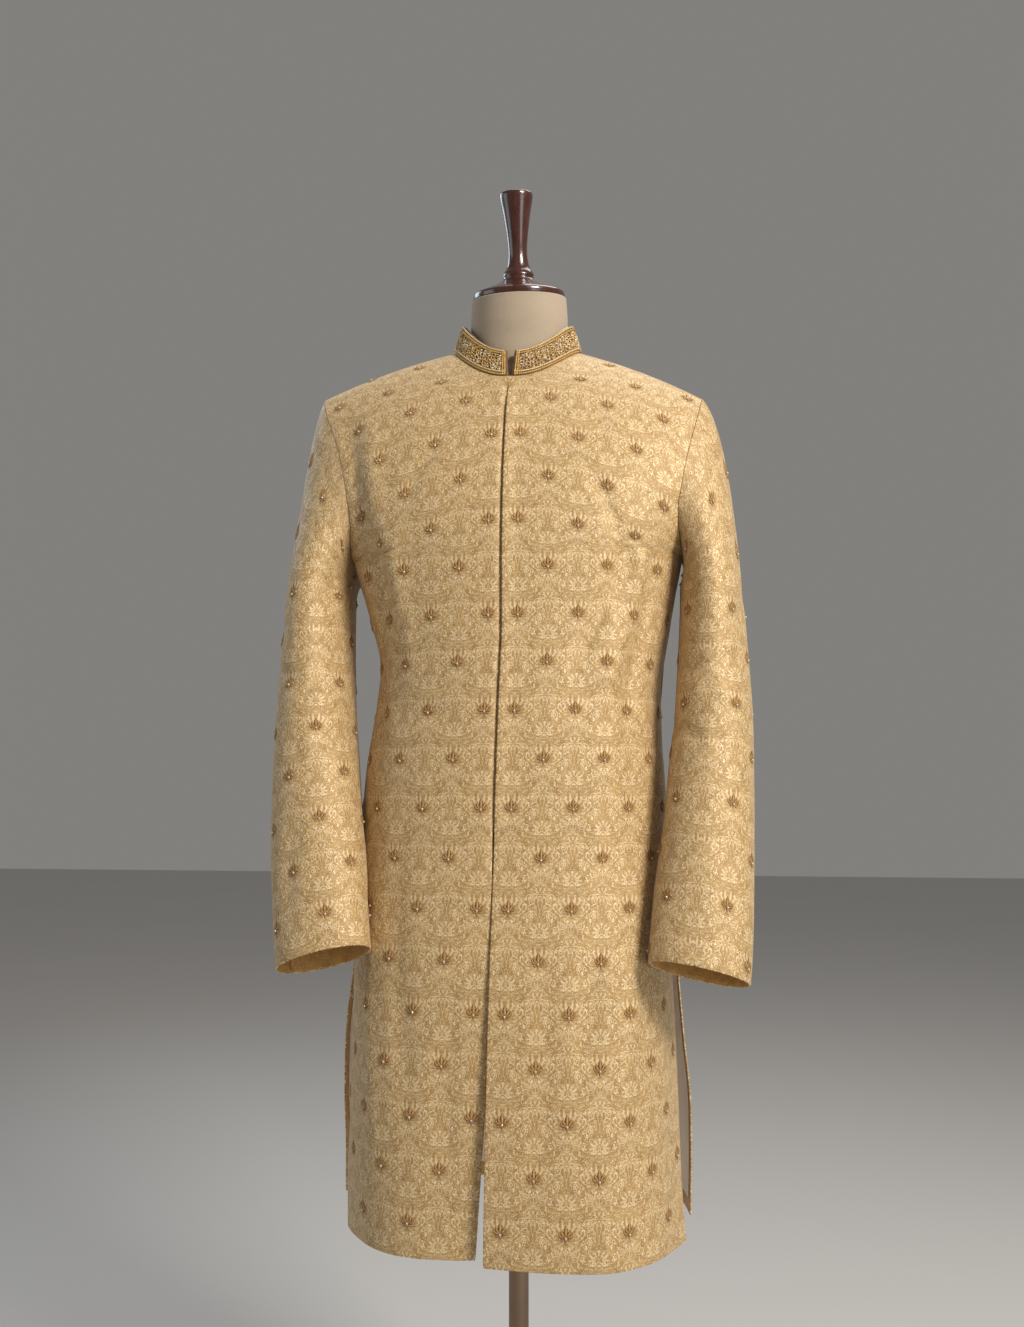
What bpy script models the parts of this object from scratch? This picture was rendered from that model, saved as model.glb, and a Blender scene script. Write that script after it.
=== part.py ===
"""Sherwani coat on a limbless dress form with a turned wooden neck cap, a pole and a round base.

Axes: +Z is up, the coat's front faces -Y and +X is the wearer's left. The origin is on the floor,
on the pole's axis. Every size is in metres.

A cloth piece is a sheet: a grid of outer points with an inner wall a set depth behind them. Rows of
a panel run round the body from the centre front (or centre back) to the side seam or armhole. The
two panels at a seam share their edge points, and each is drawn back by half of SEAM_GAP.
"""

import math

import bmesh
import bpy
import numpy as np
from mathutils import Matrix, Vector

COLLECTION = "sherwani_coat_on_dress_form"

WALL = 0.002
COLLAR_WALL = 0.0025
PLACKET_WALL = 0.0012
LINING_WALL = 0.0010
SEAM_GAP = 0.0003

HEM_Z = 0.45
UNDERARM_Z = 1.20
SLIT_TOP_Z = 0.86
SLIT_BLEND_POWER = 1.15
UPPER_EXPONENT = 2.3
CHEST_DEPTH_POWER = 1.75
BACK_DEPTH_POWER = 2.6
FRONT_PITCH_DEG = 37.0
BACK_PITCH_DEG = 44.0
PITCH_HEIGHT = 0.45

NECK_HALF_WIDTH = 0.077
NECK_FRONT = 0.075
NECK_BACK = 0.062

# z, half width, front depth, back depth, superellipse exponent
BODY = np.array([
    (0.45, 0.199, 0.176, 0.120, 2.60),
    (0.58, 0.196, 0.167, 0.120, 2.55),
    (0.71, 0.190, 0.159, 0.119, 2.50),
    (0.83, 0.186, 0.147, 0.118, 2.42),
    (0.95, 0.179, 0.139, 0.115, 2.34),
    (1.06, 0.166, 0.133, 0.110, 2.30),
    (1.13, 0.178, 0.131, 0.114, 2.30),
    (1.20, 0.197, 0.131, 0.120, 2.30),
])
# By side, 1 for the wearer's left and -1 for the right: the coat hangs a little unevenly.
# share of the way from the underarm to the shoulder line, armhole half width
ARMHOLE = {
    1: np.array([
        (0.00, 0.1970), (0.21, 0.1930), (0.356, 0.1977), (0.495, 0.2028), (0.636, 0.2090),
        (0.793, 0.2163), (1.00, 0.2240),
    ]),
    -1: np.array([
        (0.00, 0.1970), (0.19, 0.1900), (0.335, 0.1935), (0.495, 0.2010), (0.665, 0.2136),
        (0.828, 0.2276), (1.00, 0.2400),
    ]),
}
# fall of the shoulder line with x and with x squared
SHOULDER_TOP_Z = 1.482
SHOULDER = {1: (0.1744, 0.939), -1: (0.0886, 0.789)}
# z, then how much wider the front and the back are than BODY
WIDER = {
    1: np.array([
        (0.45, 0.0000, 0.0000), (0.51, -0.0055, 0.0015), (0.57, -0.0080, 0.0020),
        (0.65, -0.0098, -0.0025), (0.73, -0.0105, -0.0050), (0.86, -0.0070, -0.0070),
        (0.965, -0.0052, -0.0052), (1.035, 0.0025, 0.0025), (1.09, 0.0072, 0.0072),
        (1.15, 0.0040, 0.0040), (1.20, 0.0000, 0.0000),
    ]),
    -1: np.array([
        (0.45, 0.0000, 0.0000), (0.51, 0.0012, 0.0015), (0.57, 0.0000, 0.0050),
        (0.65, 0.0000, 0.0070), (0.73, 0.0000, 0.0035), (0.86, 0.0000, 0.0000),
        (1.035, -0.0005, -0.0005), (1.09, -0.0040, -0.0040), (1.15, -0.0010, -0.0010),
        (1.20, 0.0000, 0.0000),
    ]),
}
# x and y of each hem outline, x away from the centre on the piece's own side
HEM_FRONT_LEFT = np.array([
    (-0.013, -0.172), (0.020, -0.1748), (0.050, -0.176), (0.081, -0.174), (0.105, -0.1705),
    (0.124, -0.163), (0.145, -0.147), (0.163, -0.126), (0.179, -0.094), (0.191, -0.067),
])
HEM_FRONT_RIGHT = np.array([
    (0.025, -0.153), (0.050, -0.1565), (0.078, -0.157), (0.100, -0.1538), (0.122, -0.1455),
    (0.142, -0.131), (0.163, -0.106), (0.176, -0.086), (0.182, -0.074),
])
HEM_BACK_LEFT = np.array([
    (0.000, 0.122), (0.050, 0.126), (0.095, 0.119), (0.135, 0.108), (0.166, 0.088),
    (0.188, 0.058), (0.197, 0.013),
])
HEM_BACK_RIGHT = np.array([
    (0.000, 0.122), (0.050, 0.126), (0.098, 0.122), (0.142, 0.115), (0.178, 0.099),
    (0.206, 0.070), (0.217, 0.040),
])
# z, x of front_left's centre edge, how far front_right's edge lies past it, how deep that edge dips
CLOSING = np.array([
    (0.45, -0.0130, -0.0120, 0.0000),
    (0.60, -0.0110, -0.0032, 0.0002),
    (0.70, -0.0095, -0.0014, 0.0004),
    (0.78, -0.0080, -0.0012, 0.0006),
    (0.84, -0.0070, -0.0026, 0.0010),
    (0.88, -0.0064, -0.0032, 0.0018),
    (0.90, -0.0060, -0.0006, 0.0026),
    (0.93, -0.0055, 0.0050, 0.0026),
    (1.03, -0.0030, 0.0050, 0.0026),
    (1.10, 0.0000, 0.0050, 0.0026),
    (1.26, 0.0000, 0.0050, 0.0026),
    (1.38, 0.0000, 0.0050, 0.0034),
    (1.395, 0.0000, -0.0006, 0.0034),
    (1.405, 0.0000, -0.0005, 0.0000),
    (1.50, 0.0000, -0.0005, 0.0000),
])
DIP_WIDTH = 0.007

# side, centre x, its reach across, top z, bottom z, depth: long soft folds in the panels
FOLDS = np.array([
    (1, 0.112, 0.018, 1.24, 0.62, 0.0026),
    (1, 0.139, 0.014, 1.22, 0.70, -0.0022),
    (-1, 0.128, 0.015, 1.30, 1.02, 0.0022),
    (-1, 0.150, 0.012, 1.26, 1.04, -0.0018),
    (-1, 0.118, 0.020, 0.95, 0.50, 0.0020),
])
BACK_FLUTE_DEPTH = 0.004
BACK_FLUTE_X = 0.072
BACK_FLUTE_REACH = 0.026

LOWER_ROWS = (
    0.450, 0.470, 0.510, 0.560, 0.610, 0.660, 0.710, 0.750, 0.780, 0.810, 0.840, 0.880, 0.900,
    0.930, 0.975, 1.015, 1.050, 1.085, 1.120, 1.160, 1.200,
)
FRONT_SHARES = (0.12, 0.25, 0.38, 0.50, 0.60, 0.6475, 0.7014, 0.737)
BACK_SHARES = (0.12, 0.25, 0.38, 0.50, 0.62, 0.74, 0.84)
FRONT_NECK_DEG = (0.0, 15.0, 32.0, 50.0, 70.0, 90.0)
BACK_NECK_DEG = (0.0, 18.0, 36.0, 54.0, 72.0, 90.0)
FRONT_COLUMNS = 16
EDGE_COLUMNS = (0.0, 0.006, 0.0125)
BACK_COLUMNS = 11

# z, centre x, centre y, half width, half depth of the hanging sleeve
SLEEVE = {
    1: np.array([
        (1.21, 0.2272, -0.020, 0.0340, 0.0745),
        (1.135, 0.2308, -0.030, 0.0372, 0.0700),
        (1.037, 0.2303, -0.050, 0.0425, 0.0605),
        (0.9425, 0.2250, -0.073, 0.0472, 0.0530),
        (0.851, 0.2188, -0.100, 0.0500, 0.0460),
        (0.762, 0.2100, -0.125, 0.0535, 0.0400),
        (0.740, 0.2080, -0.131, 0.0530, 0.0395),
    ]),
    -1: np.array([
        (1.21, 0.2372, -0.020, 0.0355, 0.0745),
        (1.135, 0.2380, -0.030, 0.0398, 0.0700),
        (1.037, 0.2344, -0.050, 0.0447, 0.0605),
        (0.9425, 0.2258, -0.075, 0.0502, 0.0530),
        (0.851, 0.2125, -0.106, 0.0528, 0.0460),
        (0.762, 0.1965, -0.138, 0.0528, 0.0400),
        (0.749, 0.1940, -0.142, 0.0524, 0.0396),
    ]),
}
SLEEVE_JOIN_Z = 1.16
CUFF_Z = {1: 0.740, -1: 0.749}
CUFF_SLOPE_BACK = 0.33
CAP_REACH = {1: 0.45, -1: 0.12}
CUFF_SLOPE_OUT = {1: 0.20, -1: 0.27}
CAP_ROWS = (0.0, 0.10, 0.24, 0.40, 0.58, 0.78, 1.0)
TUBE_ROWS = (1.115, 1.07, 1.025, 0.98, 0.935, 0.89, 0.845, 0.80, 0.77)
FRONT_SLEEVE_SEAM = 3
BACK_SLEEVE_SEAM = 4

COLLAR_HEIGHT = 0.036
COLLAR_TOP = (0.067, -0.063, 0.054)
COLLAR_LIFT = 0.0004
COLLAR_END_GAP = (0.0040, 0.0095)
# share of the height, raise of the outer face
COLLAR_ROWS = ((0.0, 0.0), (0.05, 0.0007), (0.17, 0.0007), (0.23, 0.0), (0.77, 0.0), (0.83, 0.0007),
               (0.95, 0.0007), (1.0, 0.0))

PLACKET_BOTTOM_Z = 0.878
PLACKET_TOP_Z = 1.378
PLACKET_HALF_WIDTH = 0.012
PLACKET_DEPTH = 0.0057
LINING_TOP_Z = 0.93
LINING_FROM_HEM = 0.016
LINING_FROM_SLIT = 0.007

FORM_BOTTOM_Z = 0.84
FORM_INSET = 0.0095
FORM_NEAR = 0.0038
FORM_SEAT = WALL + 0.0003
FORM_ROWS_Z = (0.84, 0.843, 0.88, 0.93, 0.98, 1.03, 1.08, 1.13, 1.165, 1.20)
FORM_SHARES = (0.12, 0.25, 0.38, 0.50, 0.62, 0.73, 0.82, 0.89, 0.94, 0.975, 0.993, 1.0)
FORM_COLUMNS = 12
ARM_PLATE_COLUMNS = 3
ARM_PLATE_BULGE = 0.005
# z, half width, half depth, centre y of the form's neck
NECK = ((1.36, 0.048, 0.045, -0.002), (1.40, 0.0570, 0.049, -0.002), (1.44, 0.0590, 0.0500, -0.003),
        (1.475, 0.0595, 0.0505, -0.004), (1.505, 0.0592, 0.0545, -0.006), (1.534, 0.0578, 0.0570, -0.008))
NECK_X = 0.0022
NECK_TILT = math.radians(12.5)
NECK_TOP_Z = 1.5343
NECK_TOP_Y = -0.008
ROUND_STEPS = 28

# radius and height above the flange of the turned cap
CAP_PROFILE = (
    (0.0, 0.0), (0.0550, 0.0), (0.0565, 0.0015), (0.0565, 0.0055), (0.0548, 0.0078),
    (0.0460, 0.0115), (0.0290, 0.0180), (0.0196, 0.0238), (0.0187, 0.0252), (0.0192, 0.0290),
    (0.0180, 0.0325), (0.0150, 0.0370), (0.0128, 0.0450), (0.0117, 0.0560), (0.0124, 0.0700),
    (0.0146, 0.0880), (0.0178, 0.1080), (0.0203, 0.1210), (0.0200, 0.1265), (0.0, 0.1292),
)
POLE_RADIUS = 0.0088
BASE_PROFILE = (
    (0.0, 0.0), (0.168, 0.0), (0.171, 0.0020), (0.171, 0.0095), (0.167, 0.0130), (0.120, 0.0155),
    (0.050, 0.0175), (0.026, 0.0210), (0.0190, 0.0270), (0.0170, 0.0340), (0.0150, 0.0360),
    (0.0, 0.0360),
)


def smooth(value):
    """0 to 1 with level ends."""
    value = min(max(value, 0.0), 1.0)
    return value * value * (3.0 - 2.0 * value)


def slopes(xs, ys):
    """Slopes of a monotone cubic through the points."""
    step = np.diff(xs)
    rise = np.diff(ys) / step
    result = np.zeros(len(xs))
    result[0] = rise[0]
    result[-1] = rise[-1]
    for i in range(1, len(xs) - 1):
        if rise[i - 1] * rise[i] > 0.0:
            a = 2.0 * step[i] + step[i - 1]
            b = step[i] + 2.0 * step[i - 1]
            result[i] = (a + b) / (a / rise[i - 1] + b / rise[i])
    return result


def look_up(table, column, value):
    """A table's column at a value of its first column, by a monotone cubic."""
    order = np.argsort(table[:, 0])
    xs = table[order, 0]
    ys = table[order, column]
    value = min(max(value, xs[0]), xs[-1])
    i = min(int(np.searchsorted(xs, value, side="right")) - 1, len(xs) - 2)
    slope = slopes(xs, ys)
    width = xs[i + 1] - xs[i]
    t = (value - xs[i]) / width
    return (
        (2 * t ** 3 - 3 * t ** 2 + 1) * ys[i]
        + (t ** 3 - 2 * t ** 2 + t) * width * slope[i]
        + (-2 * t ** 3 + 3 * t ** 2) * ys[i + 1]
        + (t ** 3 - t ** 2) * width * slope[i + 1]
    )


def read_closing(column, z):
    """Straight steps between the closing's rows, so that every row of a panel keeps its clearance."""
    return float(np.interp(z, CLOSING[:, 0], CLOSING[:, column]))


def along(points, shares):
    """Points at shares of a polyline's length."""
    length = np.concatenate([[0.0], np.cumsum(np.linalg.norm(np.diff(points, axis=0), axis=1))])
    at = np.asarray(shares) * length[-1]
    return np.stack([np.interp(at, length, points[:, k]) for k in range(points.shape[1])], axis=1)


def spread(curve, columns, front):
    """Columns along a row: close together at a front's centre edge, even over the rest."""
    if not front:
        return along(curve, np.linspace(0.0, 1.0, columns))
    length = float(np.linalg.norm(np.diff(curve, axis=0), axis=1).sum())
    rest = np.linspace(EDGE_COLUMNS[-1] / length, 1.0, columns - len(EDGE_COLUMNS) + 1)
    return along(curve, np.concatenate([np.array(EDGE_COLUMNS[:-1]) / length, rest]))


def rounded(points, count=160):
    """A smooth curve through a short outline."""
    length = np.concatenate([[0.0], np.cumsum(np.linalg.norm(np.diff(points, axis=0), axis=1))])
    table = np.column_stack([length, points])
    at = np.linspace(0.0, length[-1], count)
    return np.array([[look_up(table, 1, s), look_up(table, 2, s)] for s in at])


def shoulder_z(x, side):
    linear, square = SHOULDER[side]
    return SHOULDER_TOP_Z - linear * abs(x) - square * x * x


def shoulder_normal(x, side):
    linear, square = SHOULDER[side]
    return unit(np.array([linear + 2.0 * square * abs(x), 0.0, 1.0]))


def shoulder_y(x):
    return -0.012 * (x / 0.233) ** 2


def chest_depth(share, front):
    if front:
        return look_up(BODY, 2, UNDERARM_Z) * (1 - share ** CHEST_DEPTH_POWER) ** (1 / CHEST_DEPTH_POWER)
    return look_up(BODY, 3, UNDERARM_Z) * (1 - share ** BACK_DEPTH_POWER) ** (1 / BACK_DEPTH_POWER)


def pitch_angle(share, front):
    """Angle round the section at which the armhole cuts the row."""
    turn = FRONT_PITCH_DEG if front else BACK_PITCH_DEG
    if share < PITCH_HEIGHT:
        turn *= math.sqrt(1.0 - (1.0 - share / PITCH_HEIGHT) ** 2)
    return math.radians(90.0 - turn)


def power(value, exponent):
    return math.copysign(abs(value) ** exponent, value)


def upper_point(share, angle, side, front):
    """A point above the underarm: share of the way up and angle round from the centre."""
    exponent = 2.0 / UPPER_EXPONENT
    reach = look_up(ARMHOLE[side], 1, share) / math.sin(pitch_angle(share, front)) ** exponent
    x = reach * power(math.sin(angle), exponent)
    depth = chest_depth(share, front) * power(math.cos(angle), exponent)
    y = shoulder_y(x) + (-depth if front else depth)
    return np.array([x, y, UNDERARM_Z + share * (shoulder_z(x, side) - UNDERARM_Z)])


def neck_limit(front):
    return NECK_FRONT if front else NECK_BACK


def neck_share(degrees, side, front):
    """The row that meets the neckline at this angle from the centre."""
    if degrees >= 90.0:
        return 1.0
    x = (NECK_HALF_WIDTH + SEAM_GAP) * math.sin(math.radians(degrees))
    target = (neck_limit(front) + SEAM_GAP) * math.cos(math.radians(degrees))
    low = 0.5
    high = 1.0
    for _ in range(50):
        share = 0.5 * (low + high)
        exponent = 2.0 / UPPER_EXPONENT
        reach = look_up(ARMHOLE[side], 1, share) / math.sin(pitch_angle(share, front)) ** exponent
        sine = (x / reach) ** (1.0 / exponent)
        depth = chest_depth(share, front) * math.sqrt(1.0 - sine * sine) ** exponent
        if depth > target:
            low = share
        else:
            high = share
    return 0.5 * (low + high)


def fold_depth(x, z, side, front):
    """How far a long fold lifts the cloth here, in metres along the normal."""
    depth = 0.0
    if front:
        for fold_side, centre, reach, top, bottom, lift in FOLDS:
            if fold_side == side:
                fade = smooth((top - z) / 0.10) * smooth((z - bottom) / 0.14)
                depth += lift * fade * math.exp(-((x - centre) / reach) ** 2)
        return depth
    fade = smooth((1.02 - z) / 0.45)
    for k, sign in ((0.0, 1.0), (1.0, -0.8), (2.0, 0.7)):
        centre = BACK_FLUTE_X * (0.35 + 0.72 * k)
        depth += sign * BACK_FLUTE_DEPTH * fade * math.exp(-((x - centre) / BACK_FLUTE_REACH) ** 2)
    return depth


def centre_edge(z, side):
    """x of a front's centre edge on its own side."""
    if side > 0:
        return read_closing(1, z)
    return -(read_closing(1, z) + read_closing(2, z))


def edge_dip(x, z, side):
    """front_right's edge dips behind front_left."""
    if side > 0:
        return 0.0
    return -read_closing(3, z) * smooth((DIP_WIDTH - (x + read_closing(1, z))) / DIP_WIDTH)


def lower_curve(z, side, front, count=150):
    """Outline of a panel at a height below the underarm, from its centre edge to the side."""
    half_width = look_up(BODY, 1, z)
    depth = look_up(BODY, 2 if front else 3, z)
    exponent = 2.0 / look_up(BODY, 4, z)
    start = centre_edge(z, side) if front else 0.0
    curve = []
    for angle in np.linspace(-0.25, math.pi / 2, count * 2):
        x = half_width * power(math.sin(angle), exponent)
        y = depth * abs(math.cos(angle)) ** exponent
        curve.append((x, shoulder_y(x) + (-y if front else y)))
    curve = np.array(curve)
    first = int(np.argmax(curve[:, 0] > start))
    y = np.interp(start, curve[:, 0], curve[:, 1])
    curve = np.vstack([[start, y], curve[first:]])
    curve = along(curve, np.linspace(0.0, 1.0, count))
    if z < SLIT_TOP_Z:
        if front:
            hem = HEM_FRONT_LEFT if side > 0 else HEM_FRONT_RIGHT
        else:
            hem = HEM_BACK_LEFT if side > 0 else HEM_BACK_RIGHT
        hem = along(rounded(hem), np.linspace(0.0, 1.0, count))
        share = ((SLIT_TOP_Z - z) / (SLIT_TOP_Z - HEM_Z)) ** SLIT_BLEND_POWER
        start_share = share if not front else 1.0
        curve = curve * (1.0 - share) + hem * share
        curve[:, 0] += (start - curve[0, 0]) * start_share * np.linspace(1.0, 0.0, count) ** 3
    curve[:, 0] += look_up(WIDER[side], 1 if front else 2, z) * (curve[:, 0] / half_width) ** 2
    return curve


def lifted(curve, z, side, front):
    """The outline with its folds and the dipped centre edge, and z added."""
    tangent = np.gradient(curve, axis=0)
    tangent /= np.linalg.norm(tangent, axis=1)[:, None]
    normal = np.stack([tangent[:, 1], -tangent[:, 0]], axis=1) * (1.0 if front else -1.0)
    result = []
    for (x, y), (nx, ny) in zip(curve, normal):
        lift = fold_depth(x, z, side, front)
        if front:
            lift += edge_dip(x, z, side)
        result.append((x + nx * lift, y + ny * lift, z))
    return np.array(result)


def lower_row(z, side, front, columns):
    return spread(lifted(lower_curve(z, side, front), z, side, front), columns, front)


def upper_curve(share, side, front, neck_degrees=None, count=120):
    """Outline of a row above the underarm, from the centre edge or neckline to the armhole."""
    end = pitch_angle(share, front)
    if share >= 1.0:
        xs = np.linspace(NECK_HALF_WIDTH + SEAM_GAP, look_up(ARMHOLE[side], 1, 1.0), count)
        return np.array([[x, shoulder_y(x), shoulder_z(x, side)] for x in xs])
    angles = np.linspace(-0.25, end, count * 2)
    curve = np.array([upper_point(share, angle, side, front) for angle in angles])
    if neck_degrees:
        start = (NECK_HALF_WIDTH + SEAM_GAP) * math.sin(math.radians(neck_degrees))
    elif front:
        start = centre_edge(UNDERARM_Z + share * (SHOULDER_TOP_Z - UNDERARM_Z), side)
    else:
        start = 0.0
    first = int(np.argmax(curve[:, 0] > start))
    head = [start] + [np.interp(start, curve[:, 0], curve[:, k]) for k in (1, 2)]
    return np.vstack([head, curve[first:]])


def upper_row(share, side, front, columns, neck_degrees=None):
    curve = upper_curve(share, side, front, neck_degrees)
    if share < 1.0:
        tangent = np.gradient(curve[:, :2], axis=0)
        tangent /= np.linalg.norm(tangent, axis=1)[:, None]
        for i, (x, y, z) in enumerate(curve):
            lift = fold_depth(x, z, side, front)
            if front:
                lift += edge_dip(x, z, side)
            sign = 1.0 if front else -1.0
            curve[i, 0] += tangent[i, 1] * lift * sign
            curve[i, 1] -= tangent[i, 0] * lift * sign
    return spread(curve, columns, front)


def panel_rows(side, front):
    """Every row of a panel: its kind, its height or share, and its neckline angle."""
    rows = [("lower", z, None) for z in LOWER_ROWS]
    rows += [("upper", share, None) for share in (FRONT_SHARES if front else BACK_SHARES)]
    for degrees in FRONT_NECK_DEG if front else BACK_NECK_DEG:
        rows.append(("upper", neck_share(degrees, side, front), degrees))
    return rows


def panel_points(side, front, columns):
    rows = []
    for kind, value, degrees in panel_rows(side, front):
        if kind == "lower":
            rows.append(lower_row(value, side, front, columns))
        else:
            rows.append(upper_row(value, side, front, columns, degrees))
    return np.array(rows)


def grid_normals(points, wrap=False):
    """Unit normals of a grid, in the sense of rows by columns."""
    if wrap:
        across = np.roll(points, -1, axis=1) - np.roll(points, 1, axis=1)
    else:
        across = np.gradient(points, axis=1)
    up = np.gradient(points, axis=0)
    normal = np.cross(across, up)
    length = np.linalg.norm(normal, axis=2)[:, :, None]
    return normal / np.maximum(length, 1e-12)


def unit(vector):
    return vector / max(float(np.linalg.norm(vector)), 1e-12)


def side_slope(z, side):
    """How fast the side seam moves outward with height."""
    high = look_up(BODY, 1, z + 0.01) + look_up(WIDER[side], 2, z + 0.01)
    low = look_up(BODY, 1, z - 0.01) + look_up(WIDER[side], 2, z - 0.01)
    return (high - low) / 0.02


def panel_normals(points, side, front):
    """Normals that agree along every seam with the panel on the other side of it."""
    normal = grid_normals(points) * (1.0 if front else -1.0)
    lower = len(LOWER_ROWS)
    for row in range(len(points)):
        if row < lower and LOWER_ROWS[row] >= SLIT_TOP_Z:
            z = LOWER_ROWS[row]
            slope = side_slope(z, side) if z < UNDERARM_Z - 0.01 else 0.0
            normal[row, -1] = unit(np.array([1.0, 0.0, -slope]))
        if not front and points[row, 0, 0] == 0.0:
            normal[row, 0] = unit(normal[row, 0] * np.array([0.0, 1.0, 1.0]))
    for column in range(points.shape[1]):
        normal[-1, column] = shoulder_normal(points[-1, column, 0], side)
    return normal


def draw_back(grid, column, distance):
    """Moves an edge column towards its neighbour."""
    other = 1 if column == 0 else -2
    for row in range(len(grid)):
        grid[row, column] += unit(grid[row, other] - grid[row, column]) * distance


def draw_down(grid, row, distance):
    other = 1 if row == 0 else -2
    for column in range(grid.shape[1]):
        grid[row, column] += unit(grid[other, column] - grid[row, column]) * distance


def mirrored(grid, side):
    return grid * np.array([side, 1.0, 1.0])


def add_object(name, mesh, material, collection):
    made = bpy.data.objects.new(name, mesh)
    made.data.materials.append(material)
    collection.objects.link(made)
    return made


def sheet(name, outer, inner, material, collection):
    """One closed body between two grids of points."""
    rows, columns = outer.shape[:2]
    work = bmesh.new()
    verts = [
        [[work.verts.new(Vector(grid[r, c])) for c in range(columns)] for r in range(rows)]
        for grid in (outer, inner)
    ]
    for r in range(rows - 1):
        for c in range(columns - 1):
            for layer, turn in ((verts[0], 1), (verts[1], -1)):
                low = [layer[r][c], layer[r][c + 1], layer[r + 1][c + 1]]
                high = [layer[r][c], layer[r + 1][c + 1], layer[r + 1][c]]
                work.faces.new(low[::turn])
                work.faces.new(high[::turn])
    rim = [(0, c) for c in range(columns - 1)]
    rim += [(r, columns - 1) for r in range(rows - 1)]
    rim += [(rows - 1, c) for c in range(columns - 1, 0, -1)]
    rim += [(r, 0) for r in range(rows - 1, 0, -1)]
    for (r0, c0), (r1, c1) in zip(rim, rim[1:] + rim[:1]):
        work.faces.new([verts[1][r0][c0], verts[1][r1][c1], verts[0][r1][c1]])
        work.faces.new([verts[1][r0][c0], verts[0][r1][c1], verts[0][r0][c0]])
    if work.calc_volume(signed=True) < 0.0:
        bmesh.ops.reverse_faces(work, faces=work.faces[:])
    mesh = bpy.data.meshes.new(name)
    work.to_mesh(mesh)
    work.free()
    return add_object(name, mesh, material, collection)


def build_panel(name, side, front, material, collection):
    columns = FRONT_COLUMNS if front else BACK_COLUMNS
    outer = panel_points(side, front, columns)
    inner = outer - WALL * panel_normals(outer, side, front)
    for grid in (outer, inner):
        draw_back(grid, -1, SEAM_GAP / 2)
        draw_down(grid, -1, SEAM_GAP / 2)
        if not front:
            draw_back(grid, 0, SEAM_GAP / 2)
    return sheet(name, mirrored(outer, side), mirrored(inner, side), material, collection)


def armhole_ring(side):
    """Armhole points from the underarm up the front to the shoulder tip and down the back."""
    ring = []
    for front in (True, False):
        part = []
        for kind, value, degrees in panel_rows(side, front):
            if kind == "upper" or value == UNDERARM_Z:
                if kind == "lower":
                    part.append(lower_row(value, side, front, FRONT_COLUMNS)[-1])
                else:
                    part.append(upper_row(value, side, front, FRONT_COLUMNS, degrees)[-1])
        ring.append(np.array(part))
    return np.vstack([ring[0], ring[1][-2:0:-1]]), len(ring[0])


def sleeve_section(z, side, shares):
    """A section of the hanging sleeve, from its inner side round the front to the outer side and back."""
    centre_x, centre_y, half_x, half_y = (look_up(SLEEVE[side], k, z) for k in (1, 2, 3, 4))
    angle = np.linspace(0.0, 2.0 * math.pi, 241)
    loop = np.stack([centre_x - half_x * np.cos(angle), centre_y - half_y * np.sin(angle)], axis=1)
    half = 120
    points = []
    for share in shares:
        part = loop[:half + 1] if share <= 0.5 else loop[half:]
        points.append(along(part, [share * 2.0 if share <= 0.5 else share * 2.0 - 1.0])[0])
    points = np.array(points)
    tilt = smooth((SLEEVE_JOIN_Z - z) / (SLEEVE_JOIN_Z - CUFF_Z[side]))
    drop = CUFF_SLOPE_BACK * (points[:, 1] - centre_y) + CUFF_SLOPE_OUT[side] * (points[:, 0] - centre_x)
    return np.column_stack([points, z - tilt * drop])


def ring_shares(ring, top):
    """Share of each ring point: 0 to a half up the front, then to 1 down the back."""
    closed = np.vstack([ring, ring[:1]])
    length = np.concatenate([[0.0], np.cumsum(np.linalg.norm(np.diff(closed, axis=0), axis=1))])
    front = length[:top] / length[top - 1] * 0.5
    back = 0.5 + (length[top:-1] - length[top - 1]) / (length[-1] - length[top - 1]) * 0.5
    return np.concatenate([front, back])


def sleeve_grid(side):
    """Rows from the armhole to the cuff, columns round the arm."""
    ring, top = armhole_ring(side)
    shares = ring_shares(ring, top)
    join = sleeve_section(SLEEVE_JOIN_Z, side, shares)
    below = sleeve_section(SLEEVE_JOIN_Z - 0.02, side, shares)
    start = ring + np.array([SEAM_GAP + 0.0002, 0.0, 0.0])
    rows = []
    for s in CAP_ROWS:
        row = []
        for k, share in enumerate(shares):
            rise = 0.5 - 0.5 * math.cos(2.0 * math.pi * share)
            reach = float(np.linalg.norm(join[k] - start[k]))
            leave = unit(np.array([0.35 + CAP_REACH[side] * rise, 0.0, -1.0])) * reach * (0.90 - 0.36 * rise)
            arrive = unit(below[k] - join[k]) * reach * 1.05
            row.append(
                (2 * s ** 3 - 3 * s ** 2 + 1) * start[k] + (s ** 3 - 2 * s ** 2 + s) * leave
                + (-2 * s ** 3 + 3 * s ** 2) * join[k] + (s ** 3 - s ** 2) * arrive
            )
        rows.append(row)
    rows += [sleeve_section(z, side, shares) for z in TUBE_ROWS + (CUFF_Z[side],)]
    return np.array(rows), top


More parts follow.
